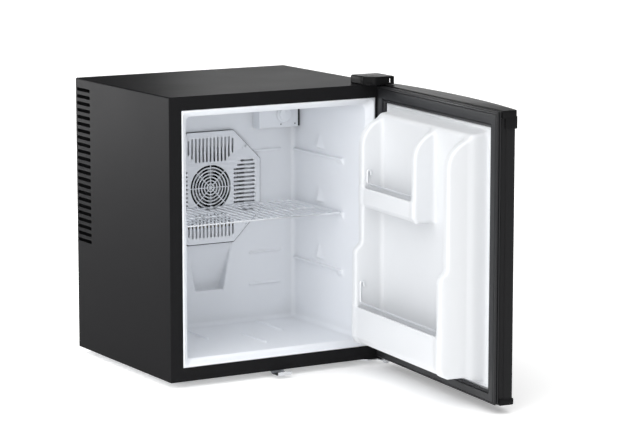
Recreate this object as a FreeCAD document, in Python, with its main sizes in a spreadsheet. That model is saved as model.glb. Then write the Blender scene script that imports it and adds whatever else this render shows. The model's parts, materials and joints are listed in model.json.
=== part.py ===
import FreeCAD, Part
import math
import os
import re
import Sketcher
from FreeCAD import Placement, Rotation, Vector

# A small thermoelectric (Peltier) fridge of the hotel-room kind, its door standing open.
# Frame: millimetres, +Z up, the floor at Z = 0, the front facing -Y, the origin under the
# middle of the cabinet.  The door is drawn shut and then swung open about its hinge.

doc = FreeCAD.newDocument("mini_fridge")
sheet = doc.addObject("Spreadsheet::Sheet", "sizes")

SIZES = dict(
    cab_width=440, cab_depth=368, cab_height=500, foot_height=12, steel=1, border=24,
    front_round=1.3,
    pan_lip=10, foot_x=170, foot_front=-122, foot_rear=150, foot_radius=15,
    # inner liner: the cold cavity
    liner_wall=2.5, ring_depth=14, mouth_slope=12, mouth_flare=5,
    cavity_half=181, cavity_back=82, cavity_floor=46, cavity_ceiling=475, cavity_round=14,
    rail_reach=6.5, rail_front=-98, rail_back=76, rail_low=163, rail_mid=269, rail_top=369,
    fin_rib=3, trough_top_half=46, trough_low_half=28, trough_top=200, trough_low=114,
    trough_depth=22, drain_x=-22, drain_height=122, drain_radius=5,
    drain_bore=3.6,
    # cold side, behind the fan cover
    fan_height=306, well_half=74, well_back=110, cover_face=75, cover_half=104, cover_side=48,
    cover_skin=2, grille_radius=42, vent_slot=3.6, vent_pitch=7.68, ring_slot=3.6, ring_pitch=6,
    block_half=20, block_back=120.5, panel_back=118.5, cold_fan_front=79.5, cold_fan_back=94.5,
    # hot side
    hot_sink_face=124.5, hot_sink_back=151, rear_fan_front=153, rear_fan_back=178,
    louvre_length=54, louvre_height=6.4, louvre_pitch=12.6, louvre_inset=4, louvre_drop=20,
    louvre_count=23, supply_left=70, supply_right=190, supply_low=80, supply_high=190,
    supply_back=160, inlet_x=146, inlet_z=50.5, tray_half=60, tray_front=125, tray_back=178,
    # shelf
    shelf_front=-96, shelf_back=71, shelf_half=177, wire_thick=3.2, wire_thin=2.4,
    shelf_wires=23,
    # lamp and thermostat housing
    house_left=93, house_right=176, house_front=57, house_low=411, knob_x=144.5, knob_z=436,
    knob_radius=15, knob_reach=9, house_screw_a=139, house_screw_b=169, house_screw_z=417,
    # door, measured shut
    door_open=85, hinge_x=210, hinge_y=-201, door_half=217, door_low=15, door_high=512,
    gasket_gap=0.5, gasket_depth=8.5, gasket_width=24, gasket_lip=4.5, door_rim=-221,
    door_bow=17, cap_top=13, cap_low=11, cap_proud=2, panel_sheet=0.8,
    plug_half=172, plug_low=52, plug_high=467, plug_face=-162, skin=2,
    rib_out=166, rib_in=150, rib_crest=-122, rib_belly=-109, bin_floor=308, bin_lip=342,
    divider=-48, divider_wide=15, low_lip=130, low_floor=57, rod_radius=1.6,
    shoulder_low=412, shoulder_tall=50, shoulder_deep=56, upper_rod=346.5, upper_hook=370,
    lower_rod=134.5, lower_hook=172, hook_inset=5,
    flange_inset=3, flange_low=27, flange_high=498, plug_round=6, belly_top=242, belly_level=224,
    rib_hollow_low=64, rib_hollow_high=420, bin_root=12, apron=4, gasket_in_low=38,
    gasket_in_high=482, cap_corner=18, cap_overlap=6,
    # hinges, lock and strike
    pin_radius=3, bush_radius=5, bush_bore=3.1, plate_thick=2.5, hinge_left=165,
    hinge_screw=3.6, low_plate_left=168, low_nose=10, washer_radius=9, washer_thick=2.6,
    cam_room_left=-9, cam_room_right=27, cam_room_front=-209.5, cam_room_back=-197,
    hinge_front=-209, cover_rise=16, lock_height=32, lock_radius=9, lock_bore=6.1,
    lock_plug=6, lock_proud=2, lock_tail=-202.6, cam_thick=2, cam_reach=23, cam_half=4.5,
    strike_left=-19, strike_right=11, strike_front=-208, strike_drop=6, strike_thick=1.5,
)
for row, (alias, size) in enumerate(SIZES.items(), start=1):
    sheet.set(f"A{row}", alias)
    sheet.set(f"B{row}", str(size))
    sheet.setAlias(f"B{row}", alias)
doc.recompute()

# derived planes, written as expressions on the sheet's cells
LEFT, RIGHT = "(-cab_width/2)", "(cab_width/2)"
FRONT, REAR = "(-cab_depth/2)", "(cab_depth/2)"
BASE, TOP = "foot_height", "(foot_height + cab_height)"
IN_LEFT, IN_RIGHT = "(-cab_width/2 + steel)", "(cab_width/2 - steel)"
GASKET_FACE = "(-cab_depth/2 - gasket_gap)"
DOOR_BACK = "(-cab_depth/2 - gasket_gap - gasket_depth)"
PANEL_LOW, PANEL_HIGH = "(door_low + cap_low)", "(door_high - cap_top)"


def cells(text):
    """Puts the sheet's name before each alias in an expression."""
    return re.sub(r"[a-z][a-z_]*", lambda m: "sizes." + m[0] if m[0] in SIZES else m[0], str(text))


def number(text):
    """The value of an expression on the sheet's cells."""
    return float(sheet.evalExpression(cells(text)))


def bind(obj, **properties):
    """Binds properties to expressions; a double underscore in a name stands for a dot."""
    for name, text in properties.items():
        obj.setExpression(name.replace("__", "."), cells(text))


# ---------------------------------------------------------------- Part primitives and booleans
def finish_label(obj, label):
    obj.Label = label
    return obj


def block(label, xs, ys, zs):
    """A box between pairs of coordinates."""
    obj = finish_label(doc.addObject("Part::Box", "Box"), label)
    bind(obj, Length=f"{xs[1]} - ({xs[0]})", Width=f"{ys[1]} - ({ys[0]})",
         Height=f"{zs[1]} - ({zs[0]})", Placement__Base__x=xs[0], Placement__Base__y=ys[0],
         Placement__Base__z=zs[0])
    return obj


TURNS = {"Z": Rotation(), "Y": Rotation(Vector(1, 0, 0), -90), "X": Rotation(Vector(0, 1, 0), 90)}


def rod(label, radius, start, length, along="Z"):
    """A cylinder from a start point along an axis."""
    obj = finish_label(doc.addObject("Part::Cylinder", "Cylinder"), label)
    obj.Placement = Placement(Vector(), TURNS[along])
    bind(obj, Radius=radius, Height=length, Placement__Base__x=start[0],
         Placement__Base__y=start[1], Placement__Base__z=start[2])
    return obj


def ball(label, radius, at):
    obj = finish_label(doc.addObject("Part::Sphere", "Sphere"), label)
    bind(obj, Radius=radius, Placement__Base__x=at[0], Placement__Base__y=at[1],
         Placement__Base__z=at[2])
    return obj


def join(label, parts):
    obj = finish_label(doc.addObject("Part::MultiFuse", "Fusion"), label)
    obj.Shapes = parts
    obj.Refine = True
    return obj


def group(label, parts):
    """Separate solids of one kind that share a node."""
    obj = finish_label(doc.addObject("Part::Compound", "Group"), label)
    obj.Links = parts
    return obj


def carve(label, base, tools):
    obj = finish_label(doc.addObject("Part::Cut", "Cut"), label)
    obj.Base = base
    obj.Tool = tools[0] if len(tools) == 1 else join(label + "_tools", tools)
    obj.Refine = True
    return obj


# ---------------------------------------------------------------- PartDesign bodies
NORMAL = {"XY": ("z", 1), "XZ": ("y", -1), "YZ": ("x", 1)}


def new_body(label):
    return finish_label(doc.addObject("PartDesign::Body", "Body"), label)


def sketch_on(body, plane, at):
    """A sketch parallel to one of the body's origin planes, at a coordinate along its normal."""
    sk = body.newObject("Sketcher::SketchObject", "Sketch")
    support = [f for f in body.Origin.OriginFeatures if f.Role == plane + "_Plane"][0]
    sk.AttachmentSupport = [(support, "")]
    sk.MapMode = "FlatFace"
    sign = NORMAL[plane][1]
    bind(sk, AttachmentOffset__Base__z=f"({at}) * {sign}")
    return sk


def pin_point(sk, edge, end, at):
    """Holds one point of the sketch at a pair of expressions."""
    for kind, text in zip(("DistanceX", "DistanceY"), at):
        spot = sk.addConstraint(Sketcher.Constraint(kind, -1, 1, edge, end, number(text)))
        sk.setExpression(f"Constraints[{spot}]", cells(text))


def polygon(sk, corners):
    """A closed outline of straight lines through corners given as expressions."""
    points = [Vector(number(a), number(b), 0) for a, b in corners]
    first = sk.GeometryCount
    for here, there in zip(points, points[1:] + points[:1]):
        sk.addGeometry(Part.LineSegment(here, there))
    count = len(points)
    for i in range(count):
        after = (i + 1) % count
        sk.addConstraint(Sketcher.Constraint("Coincident", first + i, 2, first + after, 1))
        pin_point(sk, first + i, 1, corners[i])


def rectangle(sk, xs, ys):
    polygon(sk, [(xs[0], ys[0]), (xs[1], ys[0]), (xs[1], ys[1]), (xs[0], ys[1])])


def circle(sk, centre, radius):
    spot = sk.addGeometry(Part.Circle(Vector(number(centre[0]), number(centre[1]), 0),
                                      Vector(0, 0, 1), number(radius)))
    pin_point(sk, spot, 3, centre)
    held = sk.addConstraint(Sketcher.Constraint("Radius", spot, number(radius)))
    sk.setExpression(f"Constraints[{held}]", cells(radius))


def round_slot(sk, start, end, width):
    """A slot with round ends between two end centres, level or upright."""
    a = Vector(number(start[0]), number(start[1]), 0)
    b = Vector(number(end[0]), number(end[1]), 0)
    half = number(width) / 2
    side = (b - a).normalize().cross(Vector(0, 0, 1)) * half
    turn = math.atan2(side.y, side.x)
    first = sk.GeometryCount
    sk.addGeometry(Part.LineSegment(a + side, b + side))
    sk.addGeometry(Part.ArcOfCircle(Part.Circle(b, Vector(0, 0, 1), half), turn, turn + math.pi))
    sk.addGeometry(Part.LineSegment(b - side, a - side))
    sk.addGeometry(Part.ArcOfCircle(Part.Circle(a, Vector(0, 0, 1), half), turn + math.pi,
                                    turn + 2 * math.pi))
    for i in range(4):
        meet = ("Tangent", first + i, 2, first + (i + 1) % 4, 1)
        sk.addConstraint(Sketcher.Constraint(*meet))
    pin_point(sk, first + 1, 3, end)
    pin_point(sk, first + 3, 3, start)
    held = sk.addConstraint(Sketcher.Constraint("Radius", first + 1, half))
    sk.setExpression(f"Constraints[{held}]", cells(f"{width} / 2"))


def plane_of(sk):
    return sk.AttachmentSupport[0][0].Role[:2]


def extrude(body, kind, sk, length, toward):
    """Pads or pockets a sketch toward +x, -x, +y ... and checks that the volume changed."""
    doc.recompute()
    before = body.Shape.Volume if body.Tip else 0.0
    feature = body.newObject("PartDesign::" + kind, kind)
    feature.Profile = sk
    sign = NORMAL[plane_of(sk)][1] * (1 if toward[0] == "+" else -1)
    feature.Reversed = sign < 0 if kind == "Pad" else sign > 0
    bind(feature, Length=length)
    body.Tip = feature
    doc.recompute()
    change = body.Shape.Volume - before
    if (change <= 0) == (kind == "Pad"):
        raise RuntimeError(f"{body.Label}: {kind} changed the volume by {change:.1f}")
    return feature


def pad(body, sk, length, toward):
    return extrude(body, "Pad", sk, length, toward)


def pocket(body, sk, length, toward):
    return extrude(body, "Pocket", sk, length, toward)


def edges_where(shape, test):
    """The names of a shape's edges that pass a test on their bounding box."""
    return [f"Edge{i}" for i, e in enumerate(shape.Edges, start=1) if test(e.BoundBox, e)]


def round_edges(body, radius, test):
    base = body.Tip
    names = edges_where(body.Shape, test)
    if not names:
        raise RuntimeError(f"{body.Label}: no edge to round")
    feature = body.newObject("PartDesign::Fillet", "Fillet")
    feature.Base = (base, names)
    bind(feature, Radius=radius)
    body.Tip = feature
    doc.recompute()
    return feature


def near(a, b, within=0.05):
    return abs(a - b) < within


def repeat(body, kind, features, axis, count, extent):
    """A linear or polar pattern of features about an origin axis of the body."""
    feature = body.newObject("PartDesign::" + kind, kind)
    feature.Originals = features
    holder = [f for f in body.Origin.OriginFeatures if f.Role == axis + "_Axis"][0]
    if kind == "PolarPattern":
        feature.Axis = (holder, [""])
        bind(feature, Angle=extent, Occurrences=count)
    else:
        feature.Direction = (holder, [""])
        bind(feature, Length=extent, Occurrences=count)
    body.Tip = feature
    doc.recompute()
    return feature


NODES = []


def keep(obj):
    NODES.append(obj)
    return obj


# ---------------------------------------------------------------- cabinet casing
def make_outer_shell():
    """Painted steel wrap: two sides and a top, with a folded border round the mouth."""
    body = new_body("outer_shell")
    sk = sketch_on(body, "XZ", FRONT)
    rectangle(sk, (LEFT, RIGHT), (BASE, TOP))
    pad(body, sk, "cab_depth", "+y")
    round_edges(body, "3", lambda b, e: near(b.ZMin, number(TOP)) and near(b.XMin, b.XMax))
    sk = sketch_on(body, "XZ", f"{FRONT} + steel")
    rectangle(sk, (IN_LEFT, IN_RIGHT), (BASE, f"{TOP} - steel"))
    pocket(body, sk, "cab_depth", "+y")
    sk = sketch_on(body, "XZ", FRONT)
    mouth = ("(-cab_width/2 + border)", "(cab_width/2 - border)")
    rectangle(sk, mouth, (f"{BASE} + border", f"{TOP} - border"))
    pocket(body, sk, "steel", "+y")
    front, half, top = number(FRONT), number(RIGHT), number(TOP)
    round_edges(body, "front_round", lambda b, e: (
        near(b.YMin, front) and near(b.YMax, front) and b.ZMax > number(BASE) + 1
        and (near(abs(b.XMin), half) or near(abs(b.XMax), half) or near(b.ZMax, top))))
    sk = sketch_on(body, "YZ", LEFT)
    middle = f"{TOP} - louvre_drop"
    tail = f"{REAR} - louvre_inset - louvre_height / 2"
    round_slot(sk, (f"{tail} - louvre_length + louvre_height", middle), (tail, middle),
               "louvre_height")
    slot = pocket(body, sk, "cab_width", "+x")
    slot.Refine = False
    rows = repeat(body, "LinearPattern", [slot], "Z", "louvre_count",
                  "(louvre_count - 1) * louvre_pitch")
    rows.Reversed = True
    doc.recompute()
    return keep(body)


def make_bottom_pan():
    """Steel base pan with its edges turned up inside the wrap."""
    body = new_body("bottom_pan")
    sk = sketch_on(body, "XY", BASE)
    rectangle(sk, (IN_LEFT, IN_RIGHT), (f"{FRONT} + steel", REAR))
    pad(body, sk, "pan_lip", "+z")
    sk = sketch_on(body, "XY", f"{BASE} + pan_lip")
    rectangle(sk, (f"{IN_LEFT} + steel", f"{IN_RIGHT} - steel"),
              (f"{FRONT} + 2 * steel", f"{REAR} - 2 * steel"))
    pocket(body, sk, "pan_lip - steel", "-z")
    return keep(body)


def make_back_plate():
    """Steel sheet that closes the foam; the cold block passes through its window."""
    body = new_body("back_plate")
    sk = sketch_on(body, "XZ", "panel_back")
    rectangle(sk, (f"{IN_LEFT} + steel", f"{IN_RIGHT} - steel"),
              (f"{BASE} + pan_lip", f"{TOP} - steel"))
    hole = "(block_half + 1)"
    rectangle(sk, (f"-{hole}", hole), (f"fan_height - {hole}", f"fan_height + {hole}"))
    circle(sk, ("drain_x", "drain_height"), "drain_radius + 0.2")
    pad(body, sk, "steel", "+y")
    return keep(body)


def make_rear_cover():
    """Vented steel cover over the hot compartment."""
    body = new_body("rear_cover")
    sk = sketch_on(body, "XZ", f"{REAR} - steel")
    rectangle(sk, (f"{IN_LEFT} + steel", f"{IN_RIGHT} - steel"),
              (f"{BASE} + pan_lip", f"{TOP} - steel"))
    rectangle(sk, ("inlet_x - 14", "inlet_x + 14"), ("inlet_z - 10.5", "inlet_z + 10.5"))
    pad(body, sk, "steel", "+y")
    sk = sketch_on(body, "XZ", f"{REAR} - steel")
    for i in range(-7, 8):
        reach = math.sqrt(62 ** 2 - (8 * i) ** 2)
        level = f"fan_height + {8 * i}"
        round_slot(sk, (f"-{reach:.1f}", level), (f"{reach:.1f}", level), "4.5")
    pocket(body, sk, "steel", "+y")
    sk = sketch_on(body, "XZ", f"{REAR} - steel")
    for side in (-1, 1):
        for i in range(8):
            level = f"fan_height - 49 + {14 * i}"
            round_slot(sk, (f"{side * 175}", level), (f"{side * 105}", level), "5")
    pocket(body, sk, "steel", "+y")
    return keep(body)


# ---------------------------------------------------------------- inner liner
def trough_wedge(body, kind, wall):
    """The drip trough under the fan cover: a wedge that deepens downwards."""
    wedge = body.newObject("PartDesign::" + kind, kind)
    bind(wedge, Xmin=f"-trough_low_half - {wall}", Xmax=f"trough_low_half + {wall}",
         X2min=f"-trough_top_half - {wall}", X2max=f"trough_top_half + {wall}",
         Ymin=f"trough_low - {wall}", Ymax="trough_top",
         Zmin="-1", Zmax=f"trough_depth + {wall}", Z2min="-1", Z2max=f"0.4 + {wall}")
    plane = [f for f in body.Origin.OriginFeatures if f.Role == "XY_Plane"][0]
    wedge.AttachmentSupport = [(plane, "")]
    wedge.MapMode = "FlatFace"
    upright = Rotation(Vector(-1, 0, 0), Vector(0, 0, 1), Vector(0, 1, 0), "XYZ")
    wedge.AttachmentOffset = Placement(Vector(0, number("cavity_back"), 0), upright)
    body.Tip = wedge
    doc.recompute()


def rail_outline(height):
    """Side view of one shelf rail: a ledge with a drooping front end."""
    return [("rail_back", f"{height} - 6"), ("rail_back", f"{height} - 1.5"),
            ("rail_front", f"{height} - 1.5"), ("rail_front", f"{height} - 9"),
            ("rail_front + 9", f"{height} - 17"), ("rail_front + 16", f"{height} - 15"),
            ("rail_front + 30", f"{height} - 6")]


def stop_outline(height):
    """Side view of the small hump above a rail that keeps the shelf from tipping."""
    return [("-18", f"{height} + 5"), ("4", f"{height} + 5"), ("4", f"{height} + 18")]


def make_inner_liner():
    """White vacuum-formed cavity: front ring, cold well, drip trough, rails and floor ribs."""
    body = new_body("inner_liner")
    half, wall = "cavity_half", "liner_wall"
    ring = "(cab_width/2 - border)"
    sk = sketch_on(body, "XZ", FRONT)
    rectangle(sk, (f"-{ring}", ring), (f"{BASE} + border", f"{TOP} - border"))
    pad(body, sk, "ring_depth", "+y")
    sk = sketch_on(body, "XZ", FRONT)
    rectangle(sk, (f"-{half} - {wall}", f"{half} + {wall}"),
              (f"cavity_floor - {wall}", f"cavity_ceiling + {wall}"))
    pad(body, sk, f"cavity_back + {wall} - {FRONT}", "+y")
    sk = sketch_on(body, "XZ", "cavity_back")
    well = f"(well_half + {wall})"
    rectangle(sk, (f"-{well}", well), (f"fan_height - {well}", f"fan_height + {well}"))
    pad(body, sk, f"well_back + {wall} - cavity_back", "+y")
    trough_wedge(body, "AdditiveWedge", "liner_wall")
    sk = sketch_on(body, "XZ", FRONT)
    rectangle(sk, (f"-{half}", half), ("cavity_floor", "cavity_ceiling"))
    pocket(body, sk, f"cavity_back - {FRONT}", "+y")
    inner = number("cavity_half")
    round_edges(body, "cavity_round", lambda b, e: (
        near(abs(b.XMin), inner) and near(b.XMin, b.XMax) and b.YLength > 200))
    back = number("cavity_back")
    sk = sketch_on(body, "XZ", "cavity_back")
    rectangle(sk, ("-well_half", "well_half"),
              ("fan_height - well_half", "fan_height + well_half"))
    pocket(body, sk, "well_back - cavity_back", "+y")
    sk = sketch_on(body, "XZ", "well_back")
    hole = "(block_half + 1)"
    rectangle(sk, (f"-{hole}", hole), (f"fan_height - {hole}", f"fan_height + {hole}"))
    pocket(body, sk, wall, "+y")
    trough_wedge(body, "SubtractiveWedge", "0")
    sk = sketch_on(body, "XZ", "cavity_back")
    circle(sk, ("drain_x", "drain_height"), "drain_bore")
    pocket(body, sk, "trough_depth + 2 * liner_wall", "+y")
    front = number(FRONT)
    inside = (body.Tip, edges_where(body.Shape, lambda b, e: (
        near(b.YMin, front) and near(b.YMax, front) and b.XMax < inner + 0.1
        and b.XMin > -inner - 0.1 and b.ZMin > number("cavity_floor") - 0.1
        and b.ZMax < number("cavity_ceiling") + 0.1)))
    mouth = body.newObject("PartDesign::Chamfer", "Mouth")
    mouth.Base = inside
    mouth.ChamferType = 1
    bind(mouth, Size="mouth_flare", Size2="mouth_slope")
    body.Tip = mouth
    doc.recompute()
    sk = sketch_on(body, "YZ", "cavity_half - rail_reach")
    for height in ("rail_low", "rail_mid", "rail_top"):
        polygon(sk, rail_outline(height))
        polygon(sk, stop_outline(height))
    rails = pad(body, sk, "rail_reach + 0.5", "+x")
    mirror = body.newObject("PartDesign::Mirrored", "OtherRails")
    mirror.Originals = [rails]
    side = [f for f in body.Origin.OriginFeatures if f.Role == "YZ_Plane"][0]
    mirror.MirrorPlane = (side, [""])
    body.Tip = mirror
    doc.recompute()
    sk = sketch_on(body, "XY", "cavity_floor - 0.5")
    for x in (-140, 13):
        rectangle(sk, (f"{x} - fin_rib/2", f"{x} + fin_rib/2"), ("-107", "-21"))
    for x in (-63, 93):
        rectangle(sk, (f"{x} - fin_rib/2", f"{x} + fin_rib/2"), ("-28", "68"))
    pad(body, sk, "1.7", "+z")
    return keep(body)


def make_foam():
    """Polyurethane foam between the wrap and the liner."""
    body = new_body("foam_insulation")
    wall = "liner_wall"
    sk = sketch_on(body, "XZ", f"{FRONT} + 2 * steel")
    rectangle(sk, (f"{IN_LEFT} + steel", f"{IN_RIGHT} - steel"),
              (f"{BASE} + pan_lip", f"{TOP} - steel - 1"))
    pad(body, sk, f"panel_back - {FRONT} - 2 * steel", "+y")
    ring = "(cab_width/2 - border)"
    sk = sketch_on(body, "XZ", FRONT)
    rectangle(sk, (f"-{ring}", ring), (f"{BASE} + border", f"{TOP} - border"))
    pocket(body, sk, "ring_depth", "+y")
    sk = sketch_on(body, "XZ", FRONT)
    rectangle(sk, (f"-cavity_half - {wall}", f"cavity_half + {wall}"),
              (f"cavity_floor - {wall}", f"cavity_ceiling + {wall}"))
    pocket(body, sk, f"cavity_back + {wall} - {FRONT}", "+y")
    sk = sketch_on(body, "XZ", FRONT)
    well = f"(well_half + {wall})"
    rectangle(sk, (f"-{well}", well), (f"fan_height - {well}", f"fan_height + {well}"))
    pocket(body, sk, f"well_back + {wall} - {FRONT}", "+y")
    sk = sketch_on(body, "XZ", FRONT)
    hole = "(block_half + 1)"
    rectangle(sk, (f"-{hole}", hole), (f"fan_height - {hole}", f"fan_height + {hole}"))
    circle(sk, ("drain_x", "drain_height"), "drain_radius + 0.2")
    pocket(body, sk, f"panel_back - {FRONT} + 1", "+y")
    trough_wedge(body, "SubtractiveWedge", "liner_wall")
    return keep(body)


# ---------------------------------------------------------------- cold side
def make_fan_cover():
    """Octagonal grille: a ring grille for the fan and four groups of slots round it."""
    body = new_body("fan_cover")
    half, side = "cover_half", "cover_side"
    corners = [(half, f"-{side}"), (half, side), (side, half), (f"-{side}", half),
               (f"-{half}", side), (f"-{half}", f"-{side}"), (f"-{side}", f"-{half}"),
               (side, f"-{half}")]
    sk = sketch_on(body, "XY", "0")
    polygon(sk, corners)
    pad(body, sk, "cavity_back - cover_face", "-z")
    inset = [tuple(f"({c}) * 0.975" for c in pair) for pair in corners]
    sk = sketch_on(body, "XY", "cover_face - cavity_back")
    polygon(sk, inset)
    pocket(body, sk, "cavity_back - cover_face - cover_skin", "+z")
    sk = sketch_on(body, "XY", "0")
    for i in range(-6, 7):
        start = {6: 62.5, 5: 55.5}.get(abs(i), 48)
        end = {6: 90}.get(abs(i), 93)
        level = f"{i} * vent_pitch"
        round_slot(sk, (f"{start} + vent_slot/2", level), (f"{end} - vent_slot/2", level),
                   "vent_slot")
    group_of_slots = pocket(body, sk, "cover_skin", "-z")
    repeat(body, "PolarPattern", [group_of_slots], "Z", "4", "360")
    sk = sketch_on(body, "XY", "0")
    for i in range(7):
        outer = number(f"grille_radius - {i} * ring_pitch")
        inner = outer - number("ring_slot")
        arc_slot(sk, inner, outer, 45)
    sector = pocket(body, sk, "cover_skin", "-z")
    repeat(body, "PolarPattern", [sector], "Z", "8", "360")
    body.Placement = Placement(Vector(0, number("cover_face"), number("fan_height")),
                               Rotation(Vector(1, 0, 0), 90))
    return keep(body)


def arc_slot(sk, inner, outer, sector):
    """One curved slot of a ring grille, with half a spoke left at each end."""
    spoke = 0.8
    centre, up = Vector(0, 0, 0), Vector(0, 0, 1)
    span = math.radians(sector)
    a_in, a_out = math.asin(spoke / inner), math.asin(spoke / outer)
    out_start = Vector(outer * math.cos(a_out), outer * math.sin(a_out), 0)
    out_end = Vector(outer * math.cos(span - a_out), outer * math.sin(span - a_out), 0)
    in_start = Vector(inner * math.cos(a_in), inner * math.sin(a_in), 0)
    in_end = Vector(inner * math.cos(span - a_in), inner * math.sin(span - a_in), 0)
    first = sk.GeometryCount
    sk.addGeometry(Part.ArcOfCircle(Part.Circle(centre, up, outer), a_out, span - a_out))
    sk.addGeometry(Part.LineSegment(out_end, in_end))
    sk.addGeometry(Part.ArcOfCircle(Part.Circle(centre, up, inner), a_in, span - a_in))
    sk.addGeometry(Part.LineSegment(in_start, out_start))
    ends = [(0, 2, 1, 1), (1, 2, 2, 2), (2, 1, 3, 1), (3, 2, 0, 1)]
    for one, one_end, two, two_end in ends:
        sk.addConstraint(Sketcher.Constraint("Coincident", first + one, one_end,
                                             first + two, two_end))
    sk.addConstraint(Sketcher.Constraint("Coincident", first, 3, -1, 1))
    sk.addConstraint(Sketcher.Constraint("Coincident", first + 2, 3, -1, 1))
    sk.addConstraint(Sketcher.Constraint("Radius", first, outer))
    sk.addConstraint(Sketcher.Constraint("Radius", first + 2, inner))


def finned_sink(label, half, low, high, base, tip, pitch, thick):
    """An aluminium base plate with upright fins on one face."""
    lo, hi = sorted((number(base[0]), number(base[1])))
    parts = [block(label + "_base", (f"-{half}", half), base, (low, high))]
    count = int(number(half) * 2 / pitch)
    edge = -count * pitch / 2
    for i in range(count + 1):
        x = edge + i * pitch
        ys = (base[1], tip) if number(tip) > hi else (tip, base[0])
        parts.append(block(f"{label}_fin{i}", (f"{x - thick / 2}", f"{x + thick / 2}"), ys,
                           (low, high)))
    return keep(join(label, parts))


def vane(label, tip, depth, turn, centre):
    """One flat fan blade, pitched about its own length and turned about the fan's axis."""
    root, thick, pitch = 9, 1.2, 38
    obj = finish_label(doc.addObject("Part::Box", "Box"), label)
    bind(obj, Length=f"{tip} - {root}", Width=f"{depth}", Height=f"{thick}")
    spin = Rotation(Vector(0, 1, 0), turn).multiply(Rotation(Vector(1, 0, 0), pitch))
    corner = Placement(Vector(root, -depth / 2, -thick / 2), Rotation())
    obj.Placement = Placement(centre, spin).multiply(corner)
    return obj


def make_fan(prefix, half, bore, front, back, rotor_label, frame_label):
    """An axial fan: a square frame with its motor mount on struts, and a bladed rotor."""
    mid = "fan_height"
    frame = block(prefix + "_square", (f"-{half}", f"{half}"), (front, back),
                  (f"{mid} - {half}", f"{mid} + {half}"))
    tunnel = rod(prefix + "_tunnel", f"{bore}", ("0", f"{front} - 1", mid),
                 f"{back} - ({front}) + 2", "Y")
    inset = half - 4.5
    holes = [rod(f"{prefix}_hole{sx}{sz}", "2.1",
                 (f"{sx * inset}", f"{front} - 1", f"{mid} + {sz * inset}"),
                 f"{back} - ({front}) + 2", "Y") for sx in (-1, 1) for sz in (-1, 1)]
    ring = carve(prefix + "_ring", frame, [tunnel] + holes)
    mount = rod(prefix + "_mount", "14", ("0", f"{back} - 3", mid), "3", "Y")
    struts = [block(f"{prefix}_strut_x", (f"-{bore}-1", f"{bore}+1"),
                    (f"{back} - 3", back), (f"{mid} - 2", f"{mid} + 2")),
              block(f"{prefix}_strut_z", ("-2", "2"), (f"{back} - 3", back),
                    (f"{mid} - {bore} - 1", f"{mid} + {bore} + 1"))]
    keep(join(frame_label, [ring, mount] + struts))
    tip = bore - 1.5
    depth = number(back) - number(front) - 3 - 2
    hub = rod(prefix + "_hub", "13", ("0", f"{front} + 1", mid), f"{depth}", "Y")
    centre = Vector(0, number(front) + 1 + depth / 2, number(mid))
    blades = [vane(f"{prefix}_blade{i}", tip, depth, i * 360 / 7, centre) for i in range(7)]
    disc = rod(prefix + "_limit", f"{tip}", ("0", f"{front} + 1", mid), f"{depth}", "Y")
    whole = join(rotor_label + "_untrimmed", [hub] + blades)
    trimmed = finish_label(doc.addObject("Part::Common", "Common"), rotor_label)
    trimmed.Base = whole
    trimmed.Tool = disc
    keep(trimmed)


def make_cold_side():
    mid = "fan_height"
    make_fan("cold_fan", 40, 37, "cold_fan_front", "cold_fan_back", "cold_fan_rotor",
             "cold_fan_frame")
    finned_sink("cold_heat_sink", "70", f"{mid} - 60", f"{mid} + 60", ("105", "well_back"),
                "cold_fan_back + 1", 7, 1.4)
    half = "block_half"
    zs = (f"{mid} - {half}", f"{mid} + {half}")
    keep(block("spacer_block", (f"-{half}", half), ("well_back", "block_back"), zs))
    keep(block("peltier_module", (f"-{half}", half), ("block_back", "hot_sink_face"), zs))


# ---------------------------------------------------------------- hot side
def make_hot_side():
    mid = "fan_height"
    finned_sink("hot_heat_sink", "60", f"{mid} - 75", f"{mid} + 75",
                ("hot_sink_face", "130.5"), "hot_sink_back", 6, 1.4)
    make_fan("hot_fan", 60, 57, "rear_fan_front", "rear_fan_back", "rear_fan_rotor",
             "rear_fan_frame")
    make_power_supply()
    make_inlet()
    outer = block("tray_outer", ("-tray_half", "tray_half"), ("tray_front", "tray_back"),
                  (f"{BASE} + steel", "38"))
    inner = block("tray_inner", ("-tray_half + 2", "tray_half - 2"),
                  ("tray_front + 2", "tray_back - 2"), (f"{BASE} + steel + 2", "39"))
    keep(carve("evaporation_tray", outer, [inner]))
    make_drain()


def make_power_supply():
    """Switching supply: a steel tray against the back plate, with its board on posts."""
    wall = "(panel_back + steel)"
    xs, zs = ("supply_left", "supply_right"), ("supply_low", "supply_high")
    outer = block("supply_outer", xs, (wall, "supply_back"), zs)
    hollow = block("supply_inner", ("supply_left + steel", "supply_right - steel"),
                   (f"{wall} + steel", "supply_back + 1"),
                   ("supply_low + steel", "supply_high - steel"))
    keep(carve("power_supply_tray", outer, [hollow]))
    face = f"{wall} + 10.1"
    board = block("supply_sheet", ("supply_left + 5", "supply_right - 5"),
                  (f"{wall} + 8.5", face), ("supply_low + 6", "supply_high - 6"))
    bits = [block("supply_coil", ("95", "125"), (face, f"{face} + 22"), ("110", "145")),
            rod("supply_can_a", "8", ("145", face, "160"), "22", "Y"),
            rod("supply_can_b", "8", ("168", face, "160"), "22", "Y"),
            block("supply_fin", ("140", "176"), (face, f"{face} + 19"), ("100", "106")),
            block("supply_plug", ("80", "92"), (face, f"{face} + 10"), ("165", "180"))]
    posts = [rod(f"supply_post{x}{z}", "2.5", (f"{x}", f"{wall} + steel", f"{z}"), "7.5", "Y")
             for x in (80, 180) for z in (91, 179)]
    keep(join("power_supply_board", [board] + bits + posts))


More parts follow.
